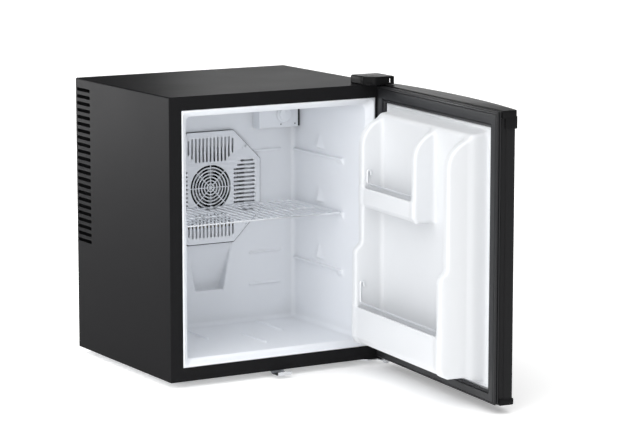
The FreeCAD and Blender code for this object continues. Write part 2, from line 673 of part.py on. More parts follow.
def make_inlet():
    """Mains inlet through the rear cover, with its three blades."""
    def beside(reach):
        return f"inlet_x - {reach}", f"inlet_x + {reach}"

    flange = block("inlet_flange", beside(19), (REAR, f"{REAR} + 2"),
                   ("inlet_z - 13.5", "inlet_z + 13.5"))
    barrel = block("inlet_barrel", beside(13.5), (f"{REAR} - 17", REAR),
                   ("inlet_z - 10", "inlet_z + 10"))
    mouth = block("inlet_mouth", beside(11), (f"{REAR} - 13", f"{REAR} + 3"),
                  ("inlet_z - 7.5", "inlet_z + 7.5"))
    keep(carve("power_inlet", join("inlet_solid", [flange, barrel]), [mouth]))
    blades = []
    for step, rise in ((-7, -1.5), (0, 1.5), (7, -1.5)):
        blades.append(block(f"inlet_blade{step}", (f"inlet_x + {step} - 1", f"inlet_x + {step} + 1"),
                            (f"{REAR} - 13", f"{REAR} - 1"),
                            (f"inlet_z + {rise} - 2", f"inlet_z + {rise} + 2")))
    keep(group("inlet_pins", blades))


def make_drain():
    """Tube from the drip trough through the foam and down into the evaporation tray."""
    start, knee_y, low = 105.6, 140, 44

    def pipe(label, radius, extra):
        run = rod(label + "_run", radius, ("drain_x", f"{start} - {extra}", "drain_height"),
                  f"{knee_y} - {start} + {extra}", "Y")
        drop = rod(label + "_drop", radius, ("drain_x", f"{knee_y}", f"{low} - {extra}"),
                   f"drain_height - {low} + {extra}")
        knee = ball(label + "_knee", radius, ("drain_x", f"{knee_y}", "drain_height"))
        return [run, drop, knee]

    keep(carve("drain_tube", join("drain_solid", pipe("drain", "drain_radius", 0)),
               pipe("drain_hollow", "drain_bore", 1)))


# ---------------------------------------------------------------- lamp and thermostat
def make_housing():
    """White box in the top corner for the lamp and the thermostat."""
    body = new_body("lamp_housing")
    sk = sketch_on(body, "XY", "house_low")
    rectangle(sk, ("house_left", "house_right"), ("house_front", "cavity_back"))
    pad(body, sk, "cavity_ceiling - house_low", "+z")
    right = number("house_right")
    ceiling = number("cavity_ceiling")
    round_edges(body, "cavity_round", lambda b, e: (
        near(b.XMin, right) and near(b.XMax, right) and near(b.ZMin, ceiling)))
    front = number("house_front")
    round_edges(body, "1.5", lambda b, e: near(b.YMin, front) and near(b.YMax, front))
    sk = sketch_on(body, "XZ", "cavity_back")
    rectangle(sk, ("house_left + 2", "house_right - 2"), ("house_low + 2", "cavity_ceiling - 16"))
    pocket(body, sk, "cavity_back - house_front - 2", "-y")
    sk = sketch_on(body, "XY", "house_low")
    rectangle(sk, ("house_left + 6", "house_left + 34"), ("house_front + 6", "cavity_back - 6"))
    pocket(body, sk, "2", "+z")
    sk = sketch_on(body, "XZ", "house_front")
    circle(sk, ("knob_x", "knob_z"), "3.2")
    for x in ("house_screw_a", "house_screw_b"):
        circle(sk, (x, "house_screw_z"), "1.6")
    pocket(body, sk, "2", "+y")
    keep(body)
    keep(block("lamp_lens", ("house_left + 6", "house_left + 34"),
               ("house_front + 6", "cavity_back - 6"), ("house_low - 0.8", "house_low + 2")))
    board = block("lamp_sheet", ("house_left + 5", "house_left + 35"),
                  ("house_front + 5", "cavity_back - 5"), ("house_low + 7", "house_low + 8.6"))
    diodes = [rod(f"lamp_diode{i}", "1.8", (f"house_left + {13 + 7 * i}", "69.5",
                                           "house_low + 4"), "3", "Z") for i in range(3)]
    keep(join("lamp_board", [board] + diodes))
    dial = rod("knob_dial", "knob_radius", ("knob_x", "house_front - knob_reach", "knob_z"),
               "knob_reach - 0.5", "Y")
    stem = rod("knob_stem", "3", ("knob_x", "house_front - 0.5", "knob_z"), "8", "Y")
    mark = block("knob_mark", ("knob_x - 1.2", "knob_x + 1.2"),
                 ("house_front - knob_reach - 0.8", "house_front - knob_reach"),
                 ("knob_z + 4", "knob_z + knob_radius - 2"))
    keep(join("thermostat_knob", [dial, stem, mark]))
    keep(block("thermostat_control", ("knob_x - 12", "knob_x + 12"),
               ("house_front + 8", "house_front + 20"), ("knob_z - 10", "knob_z + 10")))
    keep(group("housing_screws", [
        rod("housing_screw", "1.6", (x, "house_front + 0.6", "house_screw_z"), "10", "Y")
        for x in ("house_screw_a", "house_screw_b")]))
    keep(block("housing_end_seal", ("house_right + 0.2", "cavity_half - 0.2"),
               ("house_front + 3", "cavity_back - 8"), ("house_low + 1", "cavity_ceiling - 15")))


# ---------------------------------------------------------------- shelf
def make_shelf():
    """Chromed wire shelf: fine wires front to back on thicker cross wires and side rails."""
    thick, thin = "wire_thick / 2", "wire_thin / 2"
    level = "(rail_mid + 0.4)"
    wires = []
    for name, y in (("front", "shelf_front"), ("middle", "-20"), ("back", "shelf_back")):
        wires.append(rod(f"shelf_{name}", f"{thick} - 0.1", ("-shelf_half + 1.6", y, level),
                         "2 * shelf_half - 3.2", "X"))
    for side in (-1, 1):
        x = f"{side} * (shelf_half - wire_thick / 2)"
        wires.append(rod(f"shelf_side{side}", thick, (x, "shelf_front - 2.4", level),
                         "shelf_back - shelf_front + 4.8", "Y"))
    count = int(number("shelf_wires"))
    pitch = number("2 * shelf_half / (shelf_wires + 1)")
    for i in range(count):
        x = pitch * (i - (count - 1) / 2)
        wires.append(rod(f"shelf_wire{i}", thin, (f"{x:.3f}", "shelf_front - 0.7",
                                                  f"{level} + 1.7"),
                         "shelf_back - shelf_front + 1.4", "Y"))
    keep(join("wire_shelf", wires))


# ---------------------------------------------------------------- feet, hinges, strike
def make_feet():
    """Rubber feet, each held by a screw whose head sits up inside it."""
    feet, screws = [], []
    for x in ("-foot_x", "foot_x"):
        for y in ("foot_front", "foot_rear"):
            foot = rod("foot_body", "foot_radius", (x, y, "0"), "foot_height")
            hole = rod("foot_hole", "4.5", (x, y, "-1"), "6")
            feet.append(carve("foot", foot, [hole]))
            screws.append(rod("foot_screw", "4", (x, y, "2.5"), "2.5"))
    keep(group("feet", feet))
    keep(group("foot_screws", screws))


def make_hinges():
    """Top and bottom hinge plates with their pins, and the cover over the top one."""
    at = ("hinge_x", "hinge_y")
    above = f"{TOP} + 0.6"
    plate = block("top_plate", ("hinge_left + 4", "cab_width/2 - 3"),
                  (f"{FRONT} - 23", f"{FRONT} + 30"), (above, f"{above} + plate_thick"))
    pack = block("top_plate_pack", ("hinge_left + 4", "cab_width/2 - 3"),
                 (f"{FRONT} + 2", f"{FRONT} + 30"), (TOP, above))
    keep(join("top_hinge_bracket", [plate, pack]))
    keep(rod("top_hinge_pin", "pin_radius", at + (f"{TOP} - 10",), "10.6"))
    cover = new_body("top_hinge_cover")
    sk = sketch_on(cover, "XY", TOP)
    rectangle(sk, ("hinge_left", RIGHT), ("hinge_front", f"{FRONT} + 36"))
    pad(cover, sk, "cover_rise", "+z")
    high = number(f"{TOP} + cover_rise")
    round_edges(cover, "3", lambda b, e: near(b.ZMin, high) and near(b.ZMax, high))
    sk = sketch_on(cover, "XY", TOP)
    rectangle(sk, ("hinge_left + 2", f"{RIGHT} - 2"), ("hinge_front + 2", f"{FRONT} + 34"))
    pocket(cover, sk, "cover_rise - 2.5", "+z")
    sk = sketch_on(cover, "XY", TOP)
    rectangle(sk, ("hinge_left - 1", f"{RIGHT} + 1"), ("hinge_front - 1", FRONT))
    pocket(cover, sk, "0.8", "+z")
    sk = sketch_on(cover, "YZ", "hinge_left")
    rectangle(sk, ("hinge_front + 5", f"{FRONT} - 9"), (f"{TOP} + 4", f"{TOP} + 12"))
    pocket(cover, sk, f"{RIGHT} - hinge_left", "+x")
    keep(cover)
    keep(group("top_hinge_screws", [
        rod(f"top_screw{i}", "hinge_screw", (f"hinge_left + {15 + 22 * i}", f"{FRONT} + 17",
                                     f"{above} + plate_thick"), "2.4") for i in range(2)]))
    below = f"{BASE} - plate_thick"
    arm = block("low_plate", ("low_plate_left", "cab_width/2 - 1"), (f"{FRONT} - 20", f"{FRONT} + 40"),
                (below, BASE))
    nose = rod("low_nose", "low_nose", at + (below,), "plate_thick")
    trim = block("low_trim", ("low_plate_left - 8", "low_plate_left + 28"),
                 (f"{FRONT} - 30", f"{FRONT} - 6"), (f"{below} - 1", f"{BASE} + 1"))
    keep(join("bottom_hinge_bracket", [carve("low_arm", arm, [trim]), nose]))
    keep(carve("hinge_washer", rod("washer_disc", "washer_radius", at + (BASE,), "washer_thick"),
               [rod("washer_hole", "pin_radius + 0.1", at + (f"{BASE} - 1",), "5")]))
    keep(rod("bottom_hinge_pin", "pin_radius", at + (BASE,), "15"))
    keep(group("bottom_hinge_screws", [
        rod(f"low_screw{i}", "hinge_screw",
            (f"low_plate_left + {14 + 20 * i}", f"{FRONT} + 25", f"{below} - 2"), "2")
        for i in range(2)]))


def make_strike():
    """Chromed strike under the front edge: a stepped tongue with its end turned up."""
    body = new_body("strike_plate")
    sk = sketch_on(body, "YZ", "strike_left")
    low = f"{BASE} - strike_drop"
    tail, step, tip = f"{FRONT} + 34", f"{FRONT} + 6", f"{BASE} + 1.4"
    polygon(sk, [(tail, BASE), (tail, f"{BASE} - strike_thick"),
                 (step, f"{BASE} - strike_thick"), (f"{FRONT} + 1", low),
                 ("strike_front", low), ("strike_front", tip),
                 ("strike_front + strike_thick", tip),
                 ("strike_front + strike_thick", f"{low} + strike_thick"),
                 (f"{FRONT} + 1.8", f"{low} + strike_thick"), (f"{step} + 0.8", BASE)])
    pad(body, sk, "strike_right - strike_left", "+x")
    keep(body)
    keep(group("strike_screws", [
        rod(f"strike_screw{side}", "3.2", (f"{side * 8} - 4", f"{FRONT} + 24", f"{BASE} - 3.5"),
            "2") for side in (-1, 1)]))


# ---------------------------------------------------------------- door
CAM_ROOM = (("cam_room_left", "cam_room_right"), ("cam_room_front", "cam_room_back"))


def bowed_outline(sk, half, back, rim, bow):
    """Plan of the door: straight sides and a gently bowed front."""
    w, y_back, y_rim = number(half), number(back), number(rim)
    y_nose = y_rim - number(bow)
    right_back, right_rim = Vector(w, y_back, 0), Vector(w, y_rim, 0)
    left_rim, left_back = Vector(-w, y_rim, 0), Vector(-w, y_back, 0)
    first = sk.GeometryCount
    sk.addGeometry(Part.LineSegment(left_back, right_back))
    sk.addGeometry(Part.LineSegment(right_back, right_rim))
    sk.addGeometry(Part.Arc(left_rim, Vector(0, y_nose, 0), right_rim))
    sk.addGeometry(Part.LineSegment(left_rim, left_back))
    for a, a_end, b, b_end in ((0, 2, 1, 1), (1, 2, 2, 2), (2, 1, 3, 1), (3, 2, 0, 1)):
        sk.addConstraint(Sketcher.Constraint("Coincident", first + a, a_end, first + b, b_end))
    pin_point(sk, first, 1, (f"-({half})", back))
    pin_point(sk, first, 2, (half, back))
    pin_point(sk, first + 1, 2, (half, rim))
    pin_point(sk, first + 3, 1, (f"-({half})", rim))
    radius = f"({half})^2 / (2 * ({bow})) + ({bow}) / 2"
    held = sk.addConstraint(Sketcher.Constraint("Radius", first + 2, number(radius)))
    sk.setExpression(f"Constraints[{held}]", cells(radius))


def make_door_shell():
    """Painted steel front of the door, folded back round both sides, and its foam filling."""
    panel = new_body("door_panel")
    sk = sketch_on(panel, "XY", PANEL_LOW)
    back = f"{DOOR_BACK} - skin"
    bowed_outline(sk, "door_half", back, "door_rim", "door_bow")
    pad(panel, sk, f"{PANEL_HIGH} - {PANEL_LOW}", "+z")
    sk = sketch_on(panel, "XY", PANEL_HIGH)
    bowed_outline(sk, "door_half - panel_sheet", back, "door_rim + panel_sheet", "door_bow")
    pocket(panel, sk, f"{PANEL_HIGH} - {PANEL_LOW}", "-z")
    sk = sketch_on(panel, "XZ", "door_rim")
    circle(sk, ("0", "lock_height"), "lock_radius + 0.2")
    pocket(panel, sk, "40", "-y")
    foam = new_body("door_foam")
    sk = sketch_on(foam, "XY", f"{PANEL_LOW} + 0.2")
    bowed_outline(sk, "door_half - panel_sheet - 0.2", back, "door_rim + panel_sheet + 0.2",
                  "door_bow")
    pad(foam, sk, f"{PANEL_HIGH} - {PANEL_LOW} - 0.4", "+z")
    sk = sketch_on(foam, "XZ", back)
    circle(sk, ("0", "lock_height"), "lock_radius + 0.4")
    pocket(foam, sk, "60", "-y")
    sk = sketch_on(foam, "XY", f"{PANEL_LOW} + 0.2")
    rectangle(sk, *CAM_ROOM)
    pocket(foam, sk, "18", "+z")
    sk = sketch_on(foam, "XY", f"{PANEL_LOW} + 0.2")
    circle(sk, ("hinge_x", "hinge_y"), "bush_radius + 0.2")
    pocket(foam, sk, f"{PANEL_HIGH} - {PANEL_LOW}", "+z")
    return keep(panel), keep(foam)


def make_door_caps():
    """Plastic end caps; the top one has a deep corner at the free edge."""
    top = new_body("door_top_cap")
    sk = sketch_on(top, "XY", PANEL_HIGH)
    half, rim = "door_half + cap_proud", "door_rim - cap_proud"
    bowed_outline(sk, half, f"{DOOR_BACK} - skin", rim, "door_bow")
    pad(top, sk, "cap_top", "+z")
    sk = sketch_on(top, "XY", PANEL_HIGH)
    rectangle(sk, (f"-({half})", "-door_half"), (f"{DOOR_BACK} - skin - cap_overlap", rim))
    pad(top, sk, "cap_corner", "-z")
    sk = sketch_on(top, "XY", "door_high")
    circle(sk, ("hinge_x", "hinge_y"), "bush_radius")
    pocket(top, sk, "cap_top", "-z")
    low = new_body("door_bottom_cap")
    sk = sketch_on(low, "XY", "door_low")
    bowed_outline(sk, half, f"{DOOR_BACK} - skin", rim, "door_bow")
    pad(low, sk, "cap_low", "+z")
    sk = sketch_on(low, "XY", "door_low")
    rectangle(sk, *CAM_ROOM)
    circle(sk, ("hinge_x", "hinge_y"), "bush_radius")
    pocket(low, sk, "cap_low", "+z")
    sk = sketch_on(low, "XZ", f"{DOOR_BACK} - skin")
    circle(sk, ("0", "lock_height"), "lock_radius + 0.2")
    pocket(low, sk, "80", "-y")
    return keep(top), keep(low)


def make_gasket():
    """Magnetic bellows gasket: a broad base and a narrower sealing face."""
    body = new_body("door_gasket")
    low, high = "door_low + 2", "door_high - 2"
    sk = sketch_on(body, "XZ", DOOR_BACK)
    rectangle(sk, ("-door_half", "door_half"), (low, high))
    inner_x, inner_z = "(door_half - gasket_width)", ("gasket_in_low", "gasket_in_high")
    rectangle(sk, (f"-{inner_x}", inner_x), inner_z)
    pad(body, sk, "gasket_depth - gasket_lip", "+y")
    sk = sketch_on(body, "XZ", f"{GASKET_FACE} - gasket_lip")
    face = "(door_half - gasket_lip)"
    rectangle(sk, (f"-{face}", face), (f"{low} + gasket_lip", f"{high} - gasket_lip"))
    rectangle(sk, (f"-{inner_x} - 1.5", f"{inner_x} + 1.5"),
              ("gasket_in_low - 1.5", "gasket_in_high + 1.5"))
    pad(body, sk, "gasket_lip", "+y")
    return keep(body)


def rib_side():
    """Side view of a door rib, with a large round shoulder at the top and a belly below."""
    crest, belly, face = "rib_crest", "rib_belly", "plug_face - bin_root"
    arc = []
    for i in range(7):
        angle = math.radians(15 * i)
        arc.append((f"{crest} - shoulder_deep + shoulder_deep * {math.sin(angle):.4f}",
                    f"shoulder_low + shoulder_tall * {math.cos(angle):.4f}"))
    return arc + [(crest, "belly_top"), (belly, "belly_level"), (belly, "low_floor + 16"),
                  (f"{belly} - 5", "low_floor + 6"), (f"{belly} - 18", "low_floor"),
                  (face, "low_floor"), (face, "shoulder_low + shoulder_tall")]


def make_door_liner():
    """White vacuum-formed liner of the door: plug, ribs, upper bin and full-width lower bin."""
    body = new_body("door_liner")
    back = f"{DOOR_BACK} - skin"
    sk = sketch_on(body, "XZ", back)
    rectangle(sk, ("-door_half + flange_inset", "door_half - flange_inset"),
              ("flange_low", "flange_high"))
    pad(body, sk, "skin", "+y")
    sk = sketch_on(body, "XZ", back)
    rectangle(sk, ("-plug_half", "plug_half"), ("plug_low", "plug_high"))
    pad(body, sk, f"plug_face - ({back})", "+y")
    face = number("plug_face")
    round_edges(body, "plug_round", lambda b, e: near(b.YMin, face) and near(b.YMax, face))
    for left, right, kind in (("-rib_out", "-rib_in", "full"), ("rib_in", "rib_out", "full"),
                              ("divider", "divider + divider_wide", "short")):
        sk = sketch_on(body, "YZ", left)
        outline = rib_side()
        if kind == "short":
            middle = number("bin_lip")
            *shoulder, inner_top = [p for p in outline if number(p[1]) > middle]
            outline = shoulder + [("rib_crest", "bin_floor - apron"),
                                  ("plug_face - bin_root", "bin_floor - apron"), inner_top]
        polygon(sk, outline)
        pad(body, sk, f"{right} - ({left})", "+x")
    sk = sketch_on(body, "YZ", "divider")
    polygon(sk, [("plug_face - bin_root", "bin_floor - apron"),
                 ("rib_crest", "bin_floor - apron"), ("rib_crest", "bin_lip"),
                 ("rib_crest - apron", "bin_lip"), ("rib_crest - apron - 1", "bin_floor"),
                 ("plug_face - bin_root", "bin_floor")])
    pad(body, sk, "rib_in - divider + 1", "+x")
    sk = sketch_on(body, "YZ", "-rib_in - 1")
    floor = "low_floor + apron + 0.5"
    polygon(sk, [("plug_face - bin_root", "low_floor"), ("rib_belly - 18", "low_floor"),
                 ("rib_belly - 5", "low_floor + 6"), ("rib_belly", "low_floor + 16"),
                 ("rib_belly", "low_lip"), ("rib_belly - apron", "low_lip"),
                 ("rib_belly - apron - 0.5", "low_floor + 18"),
                 ("rib_belly - apron - 5", "low_floor + 10"), ("rib_belly - 20", floor),
                 ("plug_face - bin_root", floor)])
    pad(body, sk, "2 * rib_in + 2", "+x")
    sk = sketch_on(body, "XZ", back)
    rectangle(sk, ("-plug_half + 2 * skin", "plug_half - 2 * skin"),
              ("plug_low + 2 * skin", "plug_high - 2 * skin"))
    pocket(body, sk, f"plug_face - ({back}) - skin", "+y")
    for left, right in (("-rib_out", "-rib_in"), ("rib_in", "rib_out")):
        sk = sketch_on(body, "XZ", back)
        rectangle(sk, (f"{left} + skin", f"{right} - skin"),
                  ("rib_hollow_low", "rib_hollow_high"))
        pocket(body, sk, f"rib_crest - 3 - ({back})", "+y")
    return keep(body)


def make_bin_rods():
    """Wire retainers: a straight run that turns up and then into the rib at the hinge side."""
    hook_x = "(rib_in - hook_inset)"

    def retainer(label, y, level, left, hook_z, turn_up_left):
        run = rod(label + "_run", "rod_radius", (left, y, level), f"{hook_x} - ({left})", "X")
        riser = rod(label + "_riser", "rod_radius", (hook_x, y, level), f"{hook_z} - ({level})")
        tip = rod(label + "_tip", "rod_radius", (hook_x, y, hook_z), f"rib_in - ({hook_x})", "X")
        knees = [ball(label + f"_knee{i}", "rod_radius", (hook_x, y, z))
                 for i, z in enumerate((level, hook_z))]
        parts = [run, riser, tip] + knees
        if turn_up_left:
            parts.append(rod(label + "_riser_left", "rod_radius", (left, y, level),
                             f"{hook_z} - ({level})"))
            parts.append(rod(label + "_tip_left", "rod_radius", ("-rib_in", y, hook_z),
                             f"{left} + rib_in", "X"))
            parts += [ball(label + f"_knee_left{i}", "rod_radius", (left, y, z))
                      for i, z in enumerate((level, hook_z))]
        keep(join(label, parts))

    retainer("upper_bin_rod", "rib_crest - 6", "upper_rod", "divider + divider_wide",
             "upper_hook", False)
    retainer("lower_bin_rod", "rib_belly - 7", "lower_rod", f"-{hook_x}", "lower_hook", True)


def make_bushes():
    at = ("hinge_x", "hinge_y")
    bushes = []
    for name, start, tall in (("top", f"{PANEL_HIGH}", "cap_top - 0.2"),
                              ("low", "door_low + 0.2", "14")):
        bushes.append(carve(f"bush_{name}", rod(f"bush_body_{name}", "bush_radius", at + (start,),
                                               tall),
                            [rod(f"bush_bore_{name}", "bush_bore", at + (f"{start} - 1",),
                                 f"{tall} + 2")]))
    return keep(group("hinge_bushes", bushes))


def make_lock():
    """Cam lock at the bottom of the door: a fixed barrel and a turning plug with its cam."""
    level = "lock_height"
    nose = "(door_rim - door_bow - lock_proud)"
    barrel = rod("lock_tube", "lock_radius", ("0", nose, level), f"lock_tail - 0.4 - {nose}", "Y")
    bore = rod("lock_tube_bore", "lock_bore", ("0", f"{nose} - 1", level), "60", "Y")
    keep(carve("lock_barrel", barrel, [bore]))
    plug = rod("plug_core", "lock_plug", ("0", f"{nose} + 0.4", level),
               f"lock_tail - 0.4 - {nose}", "Y")
    keyway = block("plug_keyway", ("-0.7", "0.7"), (f"{nose} - 1", f"{nose} + 12"),
                   (f"{level} - 3.5", f"{level} + 3.5"))
    keep(carve("lock_plug", plug, [keyway]))
    plate = block("cam_plate", ("-4", "cam_reach - cam_half"),
                  ("lock_tail", "lock_tail + cam_thick"),
                  (f"{level} - cam_half", f"{level} + cam_half"))
    tip = rod("cam_tip", "cam_half", ("cam_reach - cam_half", "lock_tail", level), "cam_thick",
              "Y")
    keep(join("lock_cam", [plate, tip]))


def screw_group(label, radius, spots, y, length):
    return keep(group(label, [rod(f"{label}{i}", radius, (f"{x}", y, f"{z}"), length, "Y")
                              for i, (x, z) in enumerate(spots)]))


def make_screws():
    mid = number("fan_height")
    screw_group("fan_cover_screws", "3", [(sx * 70, mid + sz * 70) for sx in (-1, 1)
                                          for sz in (-1, 1)], "cover_face - 1.2", "1.2")
    screw_group("rear_cover_screws", "3.5", [(x, z) for x in (-208, 0, 208) for z in (30, 502)],
                REAR, "1.8")
    screw_group("rear_fan_screws", "2", [(sx * 55.5, mid + sz * 55.5) for sx in (-1, 1)
                                         for sz in (-1, 1)], "hot_sink_back", "27")
    screw_group("cold_fan_screws", "2", [(sx * 35.5, mid + sz * 35.5) for sx in (-1, 1)
                                         for sz in (-1, 1)], "78.6", "16.8")


make_outer_shell()
make_bottom_pan()
make_back_plate()
make_rear_cover()
make_inner_liner()
make_foam()
make_fan_cover()
make_cold_side()
make_hot_side()
make_housing()
make_shelf()
make_feet()
make_hinges()
make_strike()
make_screws()
cabinet_count = len(NODES)
make_door_shell()
make_door_caps()
make_gasket()
make_door_liner()
make_bin_rods()
make_bushes()
make_lock()
doc.recompute()

# swing everything made after the cabinet open about the hinge
swing = Placement(Vector(), Rotation(Vector(0, 0, 1), number("door_open")),
                  Vector(number("hinge_x"), number("hinge_y"), 0))
for piece in NODES[cabinet_count:]:
    piece.Placement = swing.multiply(piece.Placement)
doc.recompute()

# every object must have worked before anything is written
for obj in doc.Objects:
    if "Invalid" in obj.State or "Error" in obj.State:
        raise RuntimeError(f"{obj.Label} failed: {obj.State}")
for piece in NODES:
    shape = piece.Shape
    if shape.isNull() or not shape.isValid() or shape.Volume <= 0:
        raise RuntimeError(f"{piece.Label} has no valid shape")

os.makedirs("parts", exist_ok=True)
for piece in NODES:
    piece.Shape.exportStep(f"parts/{piece.Label}.step")
    print(f"{piece.Label}: {len(piece.Shape.Solids)} solid(s), {piece.Shape.Volume / 1000:.1f} cm3")
print(len(NODES), "nodes")
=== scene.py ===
import json
import math

import bmesh
import bpy
import numpy as np
import openvdb
from mathutils import Matrix, Vector


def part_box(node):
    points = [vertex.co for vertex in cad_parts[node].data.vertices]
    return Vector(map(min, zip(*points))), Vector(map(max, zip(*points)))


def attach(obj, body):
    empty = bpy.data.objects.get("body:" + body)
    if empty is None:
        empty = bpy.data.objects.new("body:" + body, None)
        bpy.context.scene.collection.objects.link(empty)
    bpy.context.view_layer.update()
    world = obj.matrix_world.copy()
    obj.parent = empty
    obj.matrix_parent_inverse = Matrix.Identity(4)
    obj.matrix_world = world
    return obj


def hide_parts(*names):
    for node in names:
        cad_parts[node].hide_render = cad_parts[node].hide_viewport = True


# Looks of a small black thermoelectric fridge with its door open.
# Sizes are millimetres in the frame's own axes, and MM turns them into metres. Lights and the
# floor are placed in metres. Door pieces are drawn with the door shut and then swung open.

MM = 0.001
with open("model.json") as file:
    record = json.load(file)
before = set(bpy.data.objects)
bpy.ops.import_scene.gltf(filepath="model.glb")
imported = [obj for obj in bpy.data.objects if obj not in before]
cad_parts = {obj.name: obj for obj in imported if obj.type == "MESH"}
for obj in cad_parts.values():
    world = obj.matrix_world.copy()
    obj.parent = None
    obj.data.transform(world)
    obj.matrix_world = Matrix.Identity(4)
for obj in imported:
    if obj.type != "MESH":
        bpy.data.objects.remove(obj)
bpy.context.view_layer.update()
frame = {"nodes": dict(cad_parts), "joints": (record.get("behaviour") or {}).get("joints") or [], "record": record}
joints = {j["name"]: j for j in frame["joints"]}


def cad_mm(node):
    """Lowest and highest corner of a CAD node, in millimetres."""
    low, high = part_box(node)
    return low / MM, high / MM


shell_low = cad_mm("outer_shell")[0]
FRONT, BASE = shell_low.y, shell_low.z
HINGE = Vector(joints["door_hinge"]["pos_m"]) / MM
OPEN = math.radians(-joints["door_hinge"]["range_deg"][0])
DOOR_POSE = (Matrix.Translation(HINGE) @ Matrix.Rotation(OPEN, 4, "Z")
             @ Matrix.Translation(-HINGE))
IN_METRES = Matrix.Scale(MM, 4)

# ------------------------------------------------------------------ camera, floor and lights
CAMERA_AT = Vector((-2345.8, FRONT - 4095.5, BASE + 1036.5))
CAMERA_YAW, CAMERA_PITCH = 0.5313, -0.1599
CAMERA_LENS = 157.1
SENSOR_WIDTH = 36
FARTHEST_SEEN = 50
AMBIENT = 0.02
FLOOR_REACH = 40.0
FLOOR_COLOUR = (0.97, 0.97, 0.97)
FLOOR_GLOW = 0.25
WHITE = (1, 1, 1, 1)
# name, elevation and bearing and spread in degrees, strength
SKY_LIGHTS = (
    ("overhead", 80, 230, 110, 3.0),
    ("front_left", 40, 200, 70, 0.7),
)
# name, place, what it is aimed at, width and height, all in metres, and watts
AREA_LIGHTS = (
    ("left", (-2.9, -2.05, 1.0), (0.1, -0.1, 0.28), (2.0, 1.3), 29),
    ("left_front", (-2.4, -2.7, 0.8), (0.1, -0.1, 0.28), (2.6, 1.4), 7),
    ("side_glow", (-1.15, 2.1, 0.5), (-0.22, 0.1, 0.4), (0.8, 0.8), 36),
    ("top_glow", (1.9, 2.6, 1.25), (0.1, 0.0, 0.5), (1.2, 0.7), 7),
)


def aim(obj, direction):
    """Turns a camera or a lamp to look along a direction."""
    obj.rotation_euler = direction.to_track_quat("-Z", "Y").to_euler()


def make_camera():
    """The main view, from the front left and a little above."""
    data = bpy.data.cameras.new("main_view")
    data.sensor_width = SENSOR_WIDTH
    data.lens = CAMERA_LENS
    data.clip_end = FARTHEST_SEEN
    camera = bpy.data.objects.new("main_view", data)
    bpy.context.scene.collection.objects.link(camera)
    camera.location = CAMERA_AT * MM
    flat = math.cos(CAMERA_PITCH)
    aim(camera, Vector((math.sin(CAMERA_YAW) * flat, math.cos(CAMERA_YAW) * flat,
                        math.sin(CAMERA_PITCH))))
    bpy.context.scene.camera = camera


def area_light(name, at, target, size, watts):
    """A rectangular soft box aimed at a point."""
    data = bpy.data.lights.new(name, "AREA")
    data.shape = "RECTANGLE"
    data.size, data.size_y = size
    data.energy = watts
    lamp = bpy.data.objects.new(name, data)
    bpy.context.scene.collection.objects.link(lamp)
    lamp.location = at
    aim(lamp, Vector(target) - Vector(at))


def sky_light(name, elevation, bearing, spread, strength):
    """Light from a wide patch of sky; the angles are in degrees, the bearing from +X."""
    data = bpy.data.lights.new(name, "SUN")
    data.energy = strength
    data.angle = math.radians(spread)
    lamp = bpy.data.objects.new(name, data)
    bpy.context.scene.collection.objects.link(lamp)
    up, round_z = math.radians(elevation), math.radians(bearing)
    aim(lamp, -Vector((math.cos(up) * math.cos(round_z), math.cos(up) * math.sin(round_z),
                       math.sin(up))))


def make_studio():
    """World and lamps of a white studio."""
    scene = bpy.context.scene
    scene.view_settings.view_transform = "Standard"
    world = bpy.data.worlds.new("studio")
    scene.world = world
    world.use_nodes = True
    nodes, links = world.node_tree.nodes, world.node_tree.links
    # the backdrop looks plain white, and the light that it gives off is much dimmer
    ambient = nodes["Background"]
    ambient.inputs["Color"].default_value = WHITE
    ambient.inputs["Strength"].default_value = AMBIENT
    backdrop = nodes.new("ShaderNodeBackground")
    backdrop.inputs["Strength"].default_value = 1.0
    backdrop.inputs["Color"].default_value = WHITE
    seen = nodes.new("ShaderNodeLightPath")
    either = nodes.new("ShaderNodeMixShader")
    links.new(seen.outputs["Is Camera Ray"], either.inputs[0])
    links.new(ambient.outputs[0], either.inputs[1])
    links.new(backdrop.outputs[0], either.inputs[2])
    links.new(either.outputs[0], nodes["World Output"].inputs["Surface"])
    for light in SKY_LIGHTS:
        sky_light(*light)
    for light in AREA_LIGHTS:
        area_light(*light)


def make_floor():
    """Pale floor that gives off a little light of its own, which keeps shadows faint."""
    far = FLOOR_REACH
    mesh = bpy.data.meshes.new("floor")
    corners = [(-far, -far, 0), (far, -far, 0), (far, far, 0), (-far, far, 0)]
    mesh.from_pydata(corners, [], [(0, 1, 2, 3)])
    floor = bpy.data.objects.new("floor", mesh)
    bpy.context.scene.collection.objects.link(floor)
    mesh.materials.append(surface("floor_paper", FLOOR_COLOUR, 0.9, tint=0.01,
                                  Emission_Color=WHITE, Emission_Strength=FLOOR_GLOW))


# ------------------------------------------------------------------ materials
# the reach of the painted shade in hollows and the grain's depth are in metres
SHADE_REACH = 0.05
SHADE_SAMPLES = 8
SHADE_FROM, SHADE_TO = 0.15, 0.75
GRAIN_DEPTH = 0.0004
SHINIEST = 0.02


def noise_node(tree, place, scale, detail):
    """Noise over the piece's own coordinates."""
    noise = tree.nodes.new("ShaderNodeTexNoise")
    noise.inputs["Scale"].default_value = scale
    noise.inputs["Detail"].default_value = detail
    tree.links.new(place.outputs["Object"], noise.inputs["Vector"])
    return noise


def range_node(tree, value, **ends):
    """Map Range fed by an output; ends are its sockets, with _ for each space."""
    remap = tree.nodes.new("ShaderNodeMapRange")
    for socket, end in ends.items():
        remap.inputs[socket.replace("_", " ")].default_value = end
    tree.links.new(value, remap.inputs["Value"])
    return remap


def product_node(tree):
    """Mix node that multiplies colour A by colour B."""
    mix = tree.nodes.new("ShaderNodeMix")
    mix.data_type = "RGBA"
    mix.blend_type = "MULTIPLY"
    mix.inputs["Factor"].default_value = 1
    return mix


